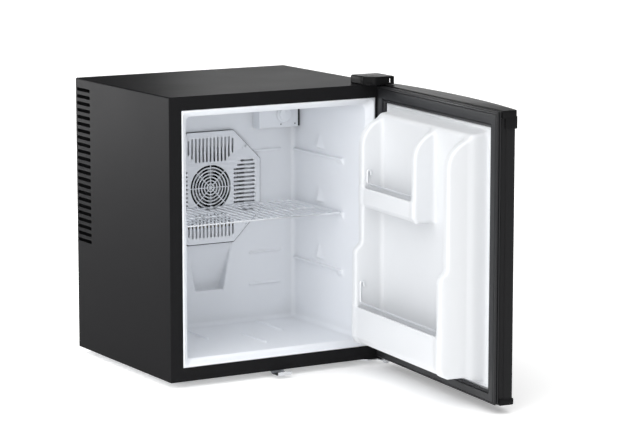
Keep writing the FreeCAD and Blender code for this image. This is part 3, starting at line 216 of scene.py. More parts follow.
def surface(name, colour, roughness, tint=0.03, tint_scale=6.0, wear=0.05, bump=0.0,
            bump_scale=300.0, hollow_shade=0.0, **shader):
    """A moulded, painted or plated finish: slow colour and gloss drift plus a fine grain.

    The hollow shade darkens the colour a little in deep corners and recesses: painted shade, from how much the
    nearby shape hides each point.
    shader holds constants for the shader's own sockets, with _ for each space in a name.
    """
    material = bpy.data.materials.new(name)
    material.use_nodes = True
    tree = material.node_tree
    nodes, links = tree.nodes, tree.links
    principled = nodes["Principled BSDF"]
    place = nodes.new("ShaderNodeTexCoord")
    drift = noise_node(tree, place, tint_scale, 4)
    shade = range_node(tree, drift.outputs["Fac"], To_Min=1 - tint, To_Max=1 + tint)
    tinted = product_node(tree)
    tinted.inputs["A"].default_value = (*colour, 1)
    links.new(shade.outputs["Result"], tinted.inputs["B"])
    final = tinted
    # painted shade: an ambient occlusion reading darkens the base colour in corners and recesses
    if hollow_shade:
        painted_shade_ao = nodes.new("ShaderNodeAmbientOcclusion")
        painted_shade_ao.inputs["Distance"].default_value = SHADE_REACH
        painted_shade_ao.samples = SHADE_SAMPLES
        depth = range_node(tree, painted_shade_ao.outputs["AO"], From_Min=SHADE_FROM, From_Max=SHADE_TO,
                           To_Min=1 - hollow_shade)
        final = product_node(tree)
        links.new(tinted.outputs["Result"], final.inputs["A"])
        links.new(depth.outputs["Result"], final.inputs["B"])
    links.new(final.outputs["Result"], principled.inputs["Base Color"])
    gloss = range_node(tree, drift.outputs["Fac"], To_Min=max(roughness - wear, SHINIEST),
                       To_Max=roughness + wear)
    links.new(gloss.outputs["Result"], principled.inputs["Roughness"])
    if bump:
        grain = noise_node(tree, place, bump_scale, 3)
        relief = nodes.new("ShaderNodeBump")
        relief.inputs["Strength"].default_value = bump
        relief.inputs["Distance"].default_value = GRAIN_DEPTH
        links.new(grain.outputs["Fac"], relief.inputs["Height"])
        links.new(relief.outputs["Normal"], principled.inputs["Normal"])
    for socket, value in shader.items():
        principled.inputs[socket.replace("_", " ")].default_value = value
    return material


def make_finishes():
    """One material for each slot of the record, the door's own paint, and the liner's white darkened for the door
    as painted shade.
    """
    return {
        "black_paint": surface("black_paint", (0.014, 0.014, 0.0148), 0.36, bump=0.12,
                               bump_scale=900, Specular_IOR_Level=0.007),
        "galvanised_steel": surface("galvanised_steel", (0.55, 0.56, 0.57), 0.42, tint=0.12,
                                    tint_scale=60, Metallic=1.0),
        # the white liners and mouldings carry painted shade in their corners and recesses
        "white_liner": surface("white_liner", (0.85, 0.873, 0.91), 0.3, tint=0.01, hollow_shade=0.2),
        "door_paint": surface("door_paint", (0.012, 0.012, 0.0127), 0.32, bump=0.12,
                              bump_scale=900, Specular_IOR_Level=0.1),
        # painted shade: the same white plastic as the cavity liner, made darker so that the brightly lit door
        # reads dimmer
        "door_liner": surface("door_liner", (0.71, 0.725, 0.745), 0.3, tint=0.01,
                              hollow_shade=0.06),
        "white_moulding": surface("white_moulding", (0.86, 0.885, 0.925), 0.4, tint=0.01,
                                  bump=0.05, hollow_shade=0.2),
        "black_moulding": surface("black_moulding", (0.008, 0.008, 0.0085), 0.4, bump=0.2,
                                  bump_scale=700, Specular_IOR_Level=0.08),
        "gasket_rubber": surface("gasket_rubber", (0.016, 0.0165, 0.018), 0.42, bump=0.1,
                                 Specular_IOR_Level=0.3),
        "aluminium_fins": surface("aluminium_fins", (0.7, 0.71, 0.72), 0.35, tint=0.05,
                                  Metallic=1.0),
        "chromed_wire": surface("chromed_wire", (0.93, 0.94, 0.96), 0.3, wear=0.03,
                                Metallic=0.9),
        "zinc_steel": surface("zinc_steel", (0.62, 0.63, 0.65), 0.22, Metallic=1.0),
        "screw_steel": surface("screw_steel", (0.2, 0.2, 0.21), 0.35, Metallic=1.0),
        "ceramic": surface("ceramic", (0.8, 0.8, 0.78), 0.6),
        "foam": surface("foam", (0.75, 0.66, 0.42), 0.9, tint=0.15, tint_scale=80, bump=0.5),
        "circuit_board": surface("circuit_board", (0.02, 0.12, 0.05), 0.45, tint=0.2,
                                 tint_scale=120),
        "lamp_diffuser": surface("lamp_diffuser", (0.85, 0.86, 0.86), 0.4, tint=0.02),
    }


make_camera()
make_studio()
make_floor()
finishes = make_finishes()
node_slot = {s["node"]: s["material_slot"] for s in frame["record"]["subparts"]}


# ------------------------------------------------------------------ turning meshes into pieces
def settle(name, mesh, body, *nodes, slot=None, finish=None, swing=False, sharp=35):
    """A piece from a mesh in millimetres: placed, smooth shaded and parented to its body.

    It stands for the CAD nodes it names; a small piece that the CAD leaves out names a slot.
    """
    mesh.transform(IN_METRES @ DOOR_POSE if swing else IN_METRES)
    mesh.name = name
    mesh.polygons.foreach_set("use_smooth", [True] * len(mesh.polygons))
    mesh.set_sharp_from_angle(angle=math.radians(sharp))
    piece = bpy.data.objects.new(name, mesh)
    bpy.context.scene.collection.objects.link(piece)
    slot = slot or node_slot[nodes[0]]
    mesh.materials.clear()
    mesh.materials.append(finishes[finish or slot])
    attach(piece, body)
    if nodes:
        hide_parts(*nodes)
    return piece


def baked(data, *modifiers):
    """The mesh of a curve or mesh after its modifiers, with the helpers removed."""
    obj = bpy.data.objects.new("working", data)
    bpy.context.scene.collection.objects.link(obj)
    for kind, options in modifiers:
        modifier = obj.modifiers.new(kind.lower(), kind)
        for key, value in options.items():
            setattr(modifier, key, value)
    graph = bpy.context.evaluated_depsgraph_get()
    mesh = bpy.data.meshes.new_from_object(obj.evaluated_get(graph), depsgraph=graph)
    bpy.data.objects.remove(obj)
    (bpy.data.meshes if isinstance(data, bpy.types.Mesh) else bpy.data.curves).remove(data)
    return mesh


def merged(*meshes):
    """One mesh from several."""
    bm = bmesh.new()
    for mesh in meshes:
        bm.from_mesh(mesh)
        bpy.data.meshes.remove(mesh)
    joined = bpy.data.meshes.new("joined")
    bm.to_mesh(joined)
    bm.free()
    return joined


# the plane a flat outline is drawn in, as a matrix that stands it up: (u, v, w) to (x, y, z)
PLANES = {
    "XY": Matrix(((1, 0, 0, 0), (0, 1, 0, 0), (0, 0, 1, 0), (0, 0, 0, 1))),
    "XZ": Matrix(((1, 0, 0, 0), (0, 0, -1, 0), (0, 1, 0, 0), (0, 0, 0, 1))),
    "YZ": Matrix(((0, 0, 1, 0), (1, 0, 0, 0), (0, 1, 0, 0), (0, 0, 0, 1))),
}


def signed_area(points):
    """Area of a closed outline, above zero when it runs anticlockwise."""
    following = points[1:] + points[:1]
    return sum(a[0] * b[1] - b[0] * a[1] for a, b in zip(points, following)) / 2


def plate(plane, outlines, low, high, rim=0.0, rim_steps=2):
    """A flat plate between two levels of its plane's axis, with holes and rounded rims."""
    curve = bpy.data.curves.new("plate", "CURVE")
    curve.dimensions = "2D"
    curve.fill_mode = "BOTH"
    curve.extrude = (high - low) / 2 - rim
    curve.bevel_depth = rim
    curve.offset = -rim
    curve.bevel_resolution = rim_steps
    for i, points in enumerate(outlines):
        if (signed_area(points) > 0) != (i == 0):
            points = points[::-1]
        spline = curve.splines.new("POLY")
        spline.points.add(len(points) - 1)
        for point, (u, v) in zip(spline.points, points):
            point.co = (u, v, 0, 1)
        spline.use_cyclic_u = True
    mesh = baked(curve)
    level = (low + high) / 2
    if plane == "XZ":
        # this plane's third axis points along -Y
        level = -level
    mesh.transform(PLANES[plane] @ Matrix.Translation((0, 0, level)))
    tidy_mesh(mesh)
    return mesh


def tidy_mesh(mesh):
    """Joins doubled points and turns the faces outward."""
    bm = bmesh.new()
    bm.from_mesh(mesh)
    bmesh.ops.remove_doubles(bm, verts=bm.verts, dist=0.005)
    bmesh.ops.recalc_face_normals(bm, faces=bm.faces)
    bm.to_mesh(mesh)
    bm.free()


def rounded_outline(points, radius):
    """A polygon with its corners rounded; radius is one number or one per corner."""
    steps = 5
    radii = radius if isinstance(radius, (list, tuple)) else [radius] * len(points)
    result = []
    for i, (u, v) in enumerate(points):
        here = Vector((u, v))
        before = Vector(points[i - 1]) - here
        after = Vector(points[(i + 1) % len(points)]) - here
        half = before.angle(after) / 2
        reach = min(radii[i] / max(math.tan(half), 1e-6), before.length / 2, after.length / 2)
        if radii[i] <= 0 or reach < 1e-4:
            result.append((u, v))
            continue
        start, end = here + before.normalized() * reach, here + after.normalized() * reach
        for k in range(steps + 1):
            t = k / steps
            spot = start * (1 - t) ** 2 + end * t ** 2 + here * 2 * t * (1 - t)
            result.append(tuple(spot))
    return result


def box_outline(left, right, low, high, radius=0.0):
    """A rectangle, its corners rounded."""
    return rounded_outline([(left, low), (right, low), (right, high), (left, high)], radius)


def ring_outline(centre, radius, count=32):
    """A circle."""
    return [(centre[0] + radius * math.cos(2 * math.pi * i / count),
             centre[1] + radius * math.sin(2 * math.pi * i / count)) for i in range(count)]


def slot_outline(start, end, width):
    """A straight slot with round ends."""
    steps = 6
    a, b = Vector(start), Vector(end)
    turn = math.atan2(b.y - a.y, b.x - a.x)
    points = []
    for centre, first in ((b, turn - math.pi / 2), (a, turn + math.pi / 2)):
        for i in range(steps + 1):
            angle = first + math.pi * i / steps
            points.append((centre.x + width / 2 * math.cos(angle),
                           centre.y + width / 2 * math.sin(angle)))
    return points


def tube(points, radius, sides=3):
    """A round wire along points, its ends capped."""
    curve = bpy.data.curves.new("wire", "CURVE")
    curve.dimensions = "3D"
    curve.bevel_depth = radius
    curve.bevel_resolution = sides
    curve.use_fill_caps = True
    spline = curve.splines.new("POLY")
    spline.points.add(len(points) - 1)
    for point, place in zip(spline.points, points):
        point.co = (*place, 1)
    mesh = baked(curve)
    tidy_mesh(mesh)
    return mesh


def bent(points, radius, steps=6):
    """A wire's line with each corner bent round a radius."""
    result = [Vector(points[0])]
    for before, here, after in zip(points, points[1:], points[2:]):
        here = Vector(here)
        back, on = Vector(before) - here, Vector(after) - here
        reach = min(radius / math.tan(back.angle(on) / 2), back.length / 2, on.length / 2)
        start, end = here + back.normalized() * reach, here + on.normalized() * reach
        for k in range(steps + 1):
            t = k / steps
            result.append(start * (1 - t) ** 2 + here * 2 * t * (1 - t) + end * t ** 2)
    result.append(Vector(points[-1]))
    return result


def bridge(bm, rings, count):
    """Joins each ring of vertices to the next one; a ring of a single vertex is a tip."""
    for lower, upper in zip(rings, rings[1:]):
        for i in range(count):
            j = (i + 1) % count
            corners = [lower[i % len(lower)], lower[j % len(lower)],
                       upper[j % len(upper)], upper[i % len(upper)]]
            bm.faces.new(list(dict.fromkeys(corners)))


def finished(bm, name):
    """A mesh from a bmesh, its faces turned outward."""
    bmesh.ops.recalc_face_normals(bm, faces=bm.faces)
    mesh = bpy.data.meshes.new(name)
    bm.to_mesh(mesh)
    bm.free()
    return mesh


def turned(profile, centre, axis="Z", count=48):
    """A turned shape from (radius, height) pairs, standing on an axis through centre."""
    bm = bmesh.new()
    rings = []
    for radius, height in profile:
        if radius < 1e-6:
            rings.append([bm.verts.new((0, 0, height))])
        else:
            rings.append([bm.verts.new((radius * math.cos(2 * math.pi * i / count),
                                        radius * math.sin(2 * math.pi * i / count), height))
                          for i in range(count)])
    bridge(bm, rings, count)
    for ring in (rings[0], rings[-1]):
        if len(ring) > 1:
            bm.faces.new(ring)
    mesh = finished(bm, "turned")
    turn = {"Z": Matrix(), "Y": Matrix.Rotation(math.radians(90), 4, "X"),
            "X": Matrix.Rotation(math.radians(90), 4, "Y")}[axis]
    mesh.transform(Matrix.Translation(centre) @ turn)
    return mesh


def without(mesh, *cutters):
    """The mesh with other meshes cut away from it."""
    helpers = []
    for cutter in cutters:
        helper = bpy.data.objects.new("cutter", cutter)
        bpy.context.scene.collection.objects.link(helper)
        helpers.append(helper)
    result = baked(mesh, *[("BOOLEAN", {"operation": "DIFFERENCE", "object": helper,
                                        "solver": "EXACT"}) for helper in helpers])
    for helper in helpers:
        data = helper.data
        bpy.data.objects.remove(helper)
        bpy.data.meshes.remove(data)
    return result


# ------------------------------------------------------------------ vacuum-formed shapes
# fields hold signed distances in millimetres, below zero inside the shape
OUTSIDE = 5.0
MERGE = 0.004


def grid_line(start, *runs):
    """Grid marks along one axis: each run goes on to an end in steps of about a size."""
    marks = [start]
    for end, step in runs:
        count = max(1, round((end - marks[-1]) / step))
        marks.extend(np.linspace(marks[-1], end, count + 1)[1:])
    return np.array(marks, dtype=np.float32)


def span(axis, low, high):
    """Signed distance to a slab between two levels of an axis."""
    return np.maximum(low - axis, axis - high)


def solid(radius, *sides):
    """The part common to all sides, with its convex edges rounded."""
    moved = [side + radius for side in sides]
    outside = sum(np.maximum(side, 0) ** 2 for side in moved)
    inside = moved[0]
    for side in moved[1:]:
        inside = np.maximum(inside, side)
    return np.sqrt(outside) + np.minimum(inside, 0) - radius


def fused(a, b, fillet):
    """Both shapes, with a soft fillet where they meet."""
    near = np.maximum(fillet - np.abs(a - b), 0)
    return np.minimum(a, b) - near * near / (4 * fillet)


def carved(a, b, fillet):
    """The first shape with the second taken away, the new edge rounded."""
    return -fused(-a, b, fillet)


def flat_shape(u, v, points):
    """Signed distance to a closed polygon in the plane of two axes."""
    distance, inside = np.float32(1e6), np.zeros(np.broadcast_shapes(u.shape, v.shape), bool)
    for (u0, v0), (u1, v1) in zip(points, points[1:] + points[:1]):
        du, dv = u1 - u0, v1 - v0
        t = np.clip(((u - u0) * du + (v - v0) * dv) / (du * du + dv * dv), 0, 1)
        distance = np.minimum(distance, np.hypot(u - u0 - t * du, v - v0 - t * dv))
        if dv:
            inside ^= ((v0 > v) != (v1 > v)) & (u < du * (v - v0) / dv + u0)
    return np.where(inside, -distance, distance)


def moulded(lines, field):
    """Mesh of the zero level of a field on a grid whose steps may vary along each axis."""
    grid = openvdb.FloatGrid(OUTSIDE)
    grid.copyFromArray(np.ascontiguousarray(field, dtype=np.float32))
    points, triangles, quads = grid.convertToPolygons(isovalue=0.0, adaptivity=MERGE)
    places = np.stack([np.interp(points[:, i], np.arange(len(line)), line)
                       for i, line in enumerate(lines)], axis=1)
    mesh = bpy.data.meshes.new("moulded")
    mesh.from_pydata(places.tolist(), [], triangles[:, ::-1].tolist() + quads[:, ::-1].tolist())
    mesh.validate()
    tidy_mesh(mesh)
    return mesh


# ------------------------------------------------------------------ door, drawn shut
# the gap and gasket between the cabinet and the door, and the liner's thickness
GAP, BELLOWS, SKIN = 0.5, 8.5, 2
SEAL_FACE = FRONT - GAP
DOOR_BACK = SEAL_FACE - BELLOWS
# outside of the door, the heights of its two caps, and the bow of its front
DOOR_SIDE, DOOR_LOW, DOOR_HIGH = 217, 15, 512
CAP_LOW, CAP_TOP = 11, 13
RIM, BOW = -221, 17
# levels along Y of the plug's face, the ribs' crest and the lower bin's front
PLUG_FACE, CREST, BELLY = -162, -122, -109
PLUG_HALF, PLUG_LOW, PLUG_HIGH = 172, 52, 467
RIB_OUT, RIB_IN = 166, 150
DIVIDER, DIVIDER_WIDE = -48, 15
# heights of the floors and lips of the upper and the lower bin
BIN_FLOOR, BIN_LIP, LOW_LIP, LOW_FLOOR = 308, 342, 130, 57
LINER_HALF, LINER_LOW, LINER_HIGH = 214, 27, 498
BEAD_HALF, BEAD_LOW, BEAD_HIGH = 190.5, 40.5, 479.5
BEAD_WIDTH, BEAD_RISE = 1.6, 2.6
# thickness of the bin fronts, and how far their lips stop below the CAD's
APRON = 4
BELOW_ROD = 3
# how much the faces lean in towards the crest, for each millimetre of depth
PLUG_DRAFT, OUTER_DRAFT, RIB_DRAFT, DIVIDER_DRAFT = 0.12, 0.07, 0.05, 0.04
# a level beyond the liner's hidden back, where its fields may end
HIDDEN = -220

# radii of the bores and of the bins' wires
HINGE_BORE, LOCK_BORE, FOAM_LOCK_BORE = 5.3, 9.15, 9.4
BIN_WIRE = 1.6
# thickness of the front's folded sides, and how far the caps stand proud of them
SHEET_THICK = 2.6
CAP_PROUD = 2


def rib_profile():
    """Side view of a rib: a round shoulder at the top and a fuller belly below."""
    shoulder, tall, deep = 412, 50, 56
    arc = [(CREST - deep + deep * math.sin(math.radians(7.5 * i)),
            shoulder + tall * math.cos(math.radians(7.5 * i))) for i in range(13)]
    belly = [(CREST, 243), (CREST + 2, 237), (BELLY - 2, 229), (BELLY, 223),
             (BELLY, LOW_FLOOR + 16), (BELLY - 5, LOW_FLOOR + 6), (BELLY - 18, LOW_FLOOR)]
    return arc + belly + [(DOOR_BACK, LOW_FLOOR), (DOOR_BACK, shoulder + tall)]


def make_door_liner():
    """White door liner: rim, plug, two side ribs, a divider, and the fronts of both bins."""
    xs = grid_line(-216, (-186, 1.6), (-176, 3), (-145, 1.4), (-60, 4), (-26, 1.4), (134, 4),
                   (176, 1.4), (196, 3), (216, 1.6))
    ys = grid_line(-197.5, (-188, 1.0), (-166, 2.2), (-105, 1.5))
    zs = grid_line(25, (34, 1.6), (48, 2.4), (80, 1.4), (122, 4), (136, 1.4), (216, 4),
                   (246, 1.6), (298, 4), (312, 1.3), (334, 4), (346, 1.3), (404, 4),
                   (474, 1.6), (492, 3), (500, 1.6))
    x, y, z = xs[:, None, None], ys[None, :, None], zs[None, None, :]
    side = rib_profile()
    profile = flat_shape(y, z, side)
    flange = solid(0.8, span(x, -LINER_HALF, LINER_HALF), span(y, HIDDEN, DOOR_BACK),
                   span(z, LINER_LOW, LINER_HIGH))
    bead_line = np.maximum(np.abs(x) - BEAD_HALF, np.maximum(BEAD_LOW - z, z - BEAD_HIGH))
    bead = solid(1.0, np.abs(bead_line) - BEAD_WIDTH,
                 span(y, HIDDEN, DOOR_BACK + BEAD_RISE), span(z, 38, 482))
    below_face = PLUG_FACE - y
    plug = solid(7, np.abs(x) - (PLUG_HALF + 2) + PLUG_DRAFT * (y - DOOR_BACK),
                 span(y, HIDDEN - 10, PLUG_FACE),
                 span(z + 0.15 * below_face, PLUG_LOW, PLUG_HIGH + 0.3 * below_face))
    shape = fused(fused(flange, bead, 1.5), plug, 7)
    below_crest = CREST - y
    for out in (-1, 1):
        outer_face = out * x - (PLUG_HALF + 1) + OUTER_DRAFT * (y - DOOR_BACK)
        inner_face = RIB_IN - out * x - RIB_DRAFT * below_crest
        rib = solid(4.5, np.maximum(outer_face, inner_face), profile)
        shape = fused(shape, rib, 9)
    upper = flat_shape(y, z, side[:13] + [(CREST, BIN_FLOOR + 4), (CREST - 6, BIN_FLOOR - APRON),
                                          (DOOR_BACK, BIN_FLOOR - APRON),
                                          (DOOR_BACK, side[0][1])])
    divider = solid(4.5, np.maximum(DIVIDER - x, x - DIVIDER - DIVIDER_WIDE)
                    - DIVIDER_DRAFT * below_crest, upper)
    shape = fused(shape, divider, 10)
    lip = BIN_LIP - BELOW_ROD
    apron = flat_shape(y, z, [(DOOR_BACK, BIN_FLOOR - APRON), (CREST - 5, BIN_FLOOR - APRON),
                              (CREST, BIN_FLOOR + 3), (CREST, lip), (CREST - APRON, lip),
                              (CREST - APRON - 1, BIN_FLOOR + 3), (CREST - APRON - 4, BIN_FLOOR),
                              (DOOR_BACK, BIN_FLOOR)])
    shape = fused(shape, solid(1.8, span(x, DIVIDER + 4, RIB_OUT - 4), apron), 7)
    lip = LOW_LIP - BELOW_ROD
    low = flat_shape(y, z, [
        (DOOR_BACK, LOW_FLOOR), (BELLY - 18, LOW_FLOOR), (BELLY - 5, LOW_FLOOR + 6),
        (BELLY, LOW_FLOOR + 16), (BELLY, lip), (BELLY - APRON, lip),
        (BELLY - APRON - 0.5, LOW_FLOOR + 18), (BELLY - APRON - 5, LOW_FLOOR + 10),
        (BELLY - 20, LOW_FLOOR + 4.5), (DOOR_BACK, LOW_FLOOR + 4.5)])
    shape = fused(shape, solid(1.8, span(x, -RIB_OUT + 4, RIB_OUT - 4), low), 7)
    shape = np.maximum(shape, DOOR_BACK - SKIN - y)
    mesh = moulded((xs, ys, zs), shape)
    settle("door_liner_moulding", mesh, "door", "door_liner", finish="door_liner", swing=True,
           sharp=60)


def framed(profile, outer, inner):
    """A frame swept round a rectangle with mitred corners: (fraction inward, depth) points."""
    bm = bmesh.new()
    rings = []
    for t, depth in profile:
        left, right, low, high = (a + (b - a) * t for a, b in zip(outer, inner))
        rings.append([bm.verts.new(co) for co in (
            (left, depth, low), (right, depth, low), (right, depth, high), (left, depth, high))])
    for ring, following in zip(rings, rings[1:] + rings[:1]):
        for i in range(4):
            j = (i + 1) % 4
            bm.faces.new((ring[i], ring[j], following[j], following[i]))
    return finished(bm, "frame")


def make_gasket():
    """Door gasket: folded bellows, a magnet pocket with a flat face, and an inner fin."""
    face = SEAL_FACE
    profile = [(0.0, DOOR_BACK), (0.0, DOOR_BACK + 1.4), (0.02, DOOR_BACK + 1.8),
               (0.11, DOOR_BACK + 2.2), (0.13, DOOR_BACK + 2.6), (0.11, DOOR_BACK + 3.0),
               (0.03, DOOR_BACK + 3.6), (0.0, DOOR_BACK + 4.4), (0.0, face - 1.8),
               (0.015, face - 0.9), (0.05, face - 0.3), (0.1, face), (0.135, face - 0.1),
               (0.15, face - 2.4), (0.17, face - 2.4), (0.185, face - 0.1), (0.22, face),
               (0.4, face + 0.15), (0.6, face + 0.15), (0.74, face), (0.765, face - 0.2),
               (0.78, face - 2.6), (0.81, face - 2.6), (0.825, face - 0.5),
               (0.9, face - 1.4), (0.97, face - 3.0),
               (1.0, face - 4.6), (0.99, face - 5.0), (0.92, face - 4.6), (0.9, face - 5.2),
               (0.93, DOOR_BACK + 1.2), (0.93, DOOR_BACK)]
    mesh = framed(profile, (-DOOR_SIDE, DOOR_SIDE, DOOR_LOW + 2, DOOR_HIGH - 2),
                  (-193, 193, 38, 482))
    settle("door_gasket_bellows", mesh, "door", "door_gasket", swing=True, sharp=50)


def bowed(half, back, rim, bow, corner=5.0, step=0.0):
    """Plan of the door: a bowed front, rounded corners and straight sides."""
    count = 24
    points = [(-half + step, back)]
    if step:
        points += [(-half + step, back - 8), (-half, back - 9)]
    front = []
    radius = half ** 2 / (2 * bow) + bow / 2
    for i in range(count + 1):
        u = -half + 2 * half * i / count
        front.append((u, rim - bow + radius - math.sqrt(radius ** 2 - u ** 2)))
    right = [(-u, v) for u, v in reversed(points)]
    outline = points + front + right
    radii = [0.0] * len(outline)
    radii[len(points)] = radii[len(points) + count] = corner
    return rounded_outline(outline, radii)


def lock_cutter(radius, level):
    """A rod through the door's front at the lock."""
    return turned([(radius, -30), (radius, 60)], (0, RIM, level), "Y")


def make_door_shell():
    """Painted door front with folded sides, its foam core and its two plastic end caps."""
    back = DOOR_BACK - SKIN
    low, high = DOOR_LOW + CAP_LOW, DOOR_HIGH - CAP_TOP
    lock_low, lock_high = cad_mm("lock_barrel")
    lock_z = (lock_low.z + lock_high.z) / 2
    outside = bowed(DOOR_SIDE, back, RIM, BOW, step=1.6)
    inside = bowed(DOOR_SIDE - SHEET_THICK, back - 0.01, RIM + 1, BOW, corner=4)
    sheet = plate("XY", [outside, inside], low, high)
    sheet = without(sheet, lock_cutter(LOCK_BORE, lock_z))
    settle("door_front_panel", sheet, "door", "door_panel", finish="door_paint", swing=True)
    plan = bowed(DOOR_SIDE + CAP_PROUD, back, RIM - CAP_PROUD, BOW, corner=6)
    bush = ring_outline((HINGE.x, HINGE.y), HINGE_BORE)
    room = box_outline(-9, 27, -209.5, -197, 1.5)
    filling = bowed(DOOR_SIDE - 6, back - 0.5, RIM + 1.5, BOW, corner=4)
    foot_top = low + 18.2
    foam = plate("XY", [filling], foot_top, high - 0.2)
    foot = plate("XY", [filling, room], low + 0.2, foot_top)
    hinge_bore = [(HINGE_BORE, low - 1), (HINGE_BORE, high + 1)]
    foam = without(foam, turned(hinge_bore, (HINGE.x, HINGE.y, 0)))
    foot = without(foot, turned(hinge_bore, (HINGE.x, HINGE.y, 0)),
                   lock_cutter(FOAM_LOCK_BORE, lock_z))
    settle("door_foam_core", merged(foam, foot), "door", "door_foam", swing=True)
    top = plate("XY", [plan, bush], high, DOOR_HIGH, rim=1.4, rim_steps=3)
    tab = box_outline(-DOOR_SIDE - CAP_PROUD, -DOOR_SIDE + 0.4, high - 18, high + 3, 1.2)
    corner = plate("XZ", [tab], RIM - CAP_PROUD, back - 6, rim=0.7)
    settle("door_top_cap_moulding", merged(top, corner), "door", "door_top_cap", swing=True)
    bottom = plate("XY", [plan, bush, room], DOOR_LOW, low, rim=2.2, rim_steps=4)
    bottom = without(bottom, lock_cutter(LOCK_BORE, lock_z))
    settle("door_bottom_cap_moulding", bottom, "door", "door_bottom_cap", swing=True)


def make_bin_rods():
    """Bent wire retainers across the two bins, each end turned up into a hook."""
    right = RIB_IN - 5
    for name, node, left, depth, level, hook in (
            ("upper_bin_wire", "upper_bin_rod", DIVIDER + 20, CREST - 7, 346.5, 370),
            ("lower_bin_wire", "lower_bin_rod", -RIB_IN + 4, BELLY - 7, 134.5, 172)):
        line = [(left - 6, depth, level), (right, depth, level), (right, depth, hook),
                (right + 1, depth - 7, hook), (right + 1, depth - 8, hook - 9)]
        settle(name, tube(bent(line, 5), BIN_WIRE, sides=4), "door", node, swing=True)


# ------------------------------------------------------------------ cabinet
# inside of the cavity, and the heights of its shelf rails
WALL, CAVITY_BACK, FLOOR_LEVEL, CEILING = 181, 82, 46, 475
RAILS = (163, 269, 369)
cover_low, cover_high = cad_mm("fan_cover")
FAN_HEIGHT = (cover_low.z + cover_high.z) / 2
LINER_THICK = 2.6
MOUTH_FLARE, MOUTH_DEPTH = 12, 13
SILL_FRONT, SILL_BACK, SILL_TALL = -172, -166, 3.0
# drip trough: heights of its ends, half widths there, and the run over which it slopes back
TROUGH_TOP, TROUGH_FOOT = 202, 112
TROUGH_WIDE, TROUGH_NARROW = 46, 29
TROUGH_RUN, TROUGH_DEEP = 84, 22
# well behind the fan cover
WELL_HALF, WELL_BACK = 74, 110
# how far the rails stand off the wall, their thickness, and the drop of their gussets
RAIL_REACH, RAIL_THICK, GUSSET_DROP = 6.5, 4.5, 22
RIB_WIDE, RIB_TALL = 4, 3.4
# left edge of each floor rib, and the stretch of depth it covers
FLOOR_RIBS = ((-140, (-107, -21)), (11, (-107, -21)), (-65, (-28, 70)), (91, (-28, 70)))
WALL_BEADS = (116, 176, 368)


def make_inner_liner():
    """White cavity liner: flared mouth, sill, shelf rails with stops, and the drip trough."""
    xs = grid_line(-198, (-170, 1.4), (-110, 5), (-30, 2.5), (50, 2.0), (110, 2.5), (165, 5),
                   (198, 1.4))
    ys = grid_line(-187, (-158, 1.4), (-94, 4), (-80, 2), (-22, 5), (-4, 2), (56, 5), (86, 1.4),
                   (115, 2.0))
    zs = grid_line(33, (64, 1.4), (104, 4), (206, 2.0), (252, 4), (296, 1.6), (352, 4),
                   (396, 1.6), (452, 4), (491, 1.4))
    x, y, z = xs[:, None, None], ys[None, :, None], zs[None, None, :]
    flare = MOUTH_FLARE * np.clip((FRONT + MOUTH_DEPTH - y) / MOUTH_DEPTH, 0, 1) ** 1.3
    hollow = solid(9, np.abs(x) - WALL - flare, y - CAVITY_BACK,
                   np.maximum(FLOOR_LEVEL - 0.6 * flare - z, z - CEILING - 0.85 * flare))
    sill = solid(3, y - SILL_BACK, SILL_FRONT - y, span(z, 20, FLOOR_LEVEL + SILL_TALL))
    trough_side = flat_shape(x, z, [(-TROUGH_WIDE, TROUGH_TOP), (TROUGH_WIDE, TROUGH_TOP),
                                    (TROUGH_NARROW, TROUGH_FOOT),
                                    (-TROUGH_NARROW, TROUGH_FOOT)])
    slope = y - CAVITY_BACK - TROUGH_DEEP * np.clip((TROUGH_TOP - z) / TROUGH_RUN, 0, 1)
    trough = solid(2.5, trough_side, slope, 40 - y)
    well = solid(6, np.abs(x) - WELL_HALF, np.abs(z - FAN_HEIGHT) - WELL_HALF,
                 y - WELL_BACK, 40 - y)
    hollow = np.minimum(carved(hollow, sill, 6), np.minimum(trough, well))
    for level in RAILS:
        ledge = solid(1.6, WALL - RAIL_REACH - np.abs(x), span(y, -98, 76),
                      span(z, level - RAIL_THICK, level))
        gusset = solid(1.5, np.maximum(WALL - RAIL_REACH - np.abs(x) + 0.45 * (level - z),
                                       span(y, -98, -80)),
                       span(z, level - GUSSET_DROP, level))
        stop = solid(2, WALL - 6 - np.abs(x) + 0.3 * np.abs(y + 12) + 0.22 * (z - level - 12),
                     span(y, -30, 6), span(z, level + 10, level + 34))
        hollow = carved(hollow, np.minimum(ledge, gusset), 2.5)
        hollow = carved(hollow, stop, 3)
    for left, depth in FLOOR_RIBS:
        rib = solid(1.0, span(x, left, left + RIB_WIDE), span(y, *depth),
                    span(z, 30, FLOOR_LEVEL + RIB_TALL))
        hollow = carved(hollow, rib, 1.5)
    for level in WALL_BEADS:
        bead = solid(1, span(x, 84, 152), 79.6 - y, span(z, level - 1.8, level + 1.8))
        hollow = carved(hollow, bead, 1.5)
    skin_wall = np.maximum(hollow - LINER_THICK, FRONT + 1 - y)
    ring = solid(0.8, span(x, -196, 196), span(y, FRONT, FRONT + 14), span(z, 36, 488))
    shape = np.maximum(np.minimum(skin_wall, ring), -hollow)
    settle("cavity_liner_moulding", moulded((xs, ys, zs), shape), "cabinet", "inner_liner",
           sharp=60)


# the cover is an octagon: half its width, half the length of an upright side, its thickness
COVER_HALF, COVER_SIDE, COVER_THICK = 104, 48, 2.2
RINGS, RING_PITCH, RING_WIDTH, LARGEST_RING = 7, 6, 3.8, 42
SPOKES, SPOKE_HALF = 8, 0.75
LOUVRE_PITCH, LOUVRE_WIDTH = 7.68, 3.6
COVER_SCREW_AT, COVER_SCREW_HOLE = 73, 1.9


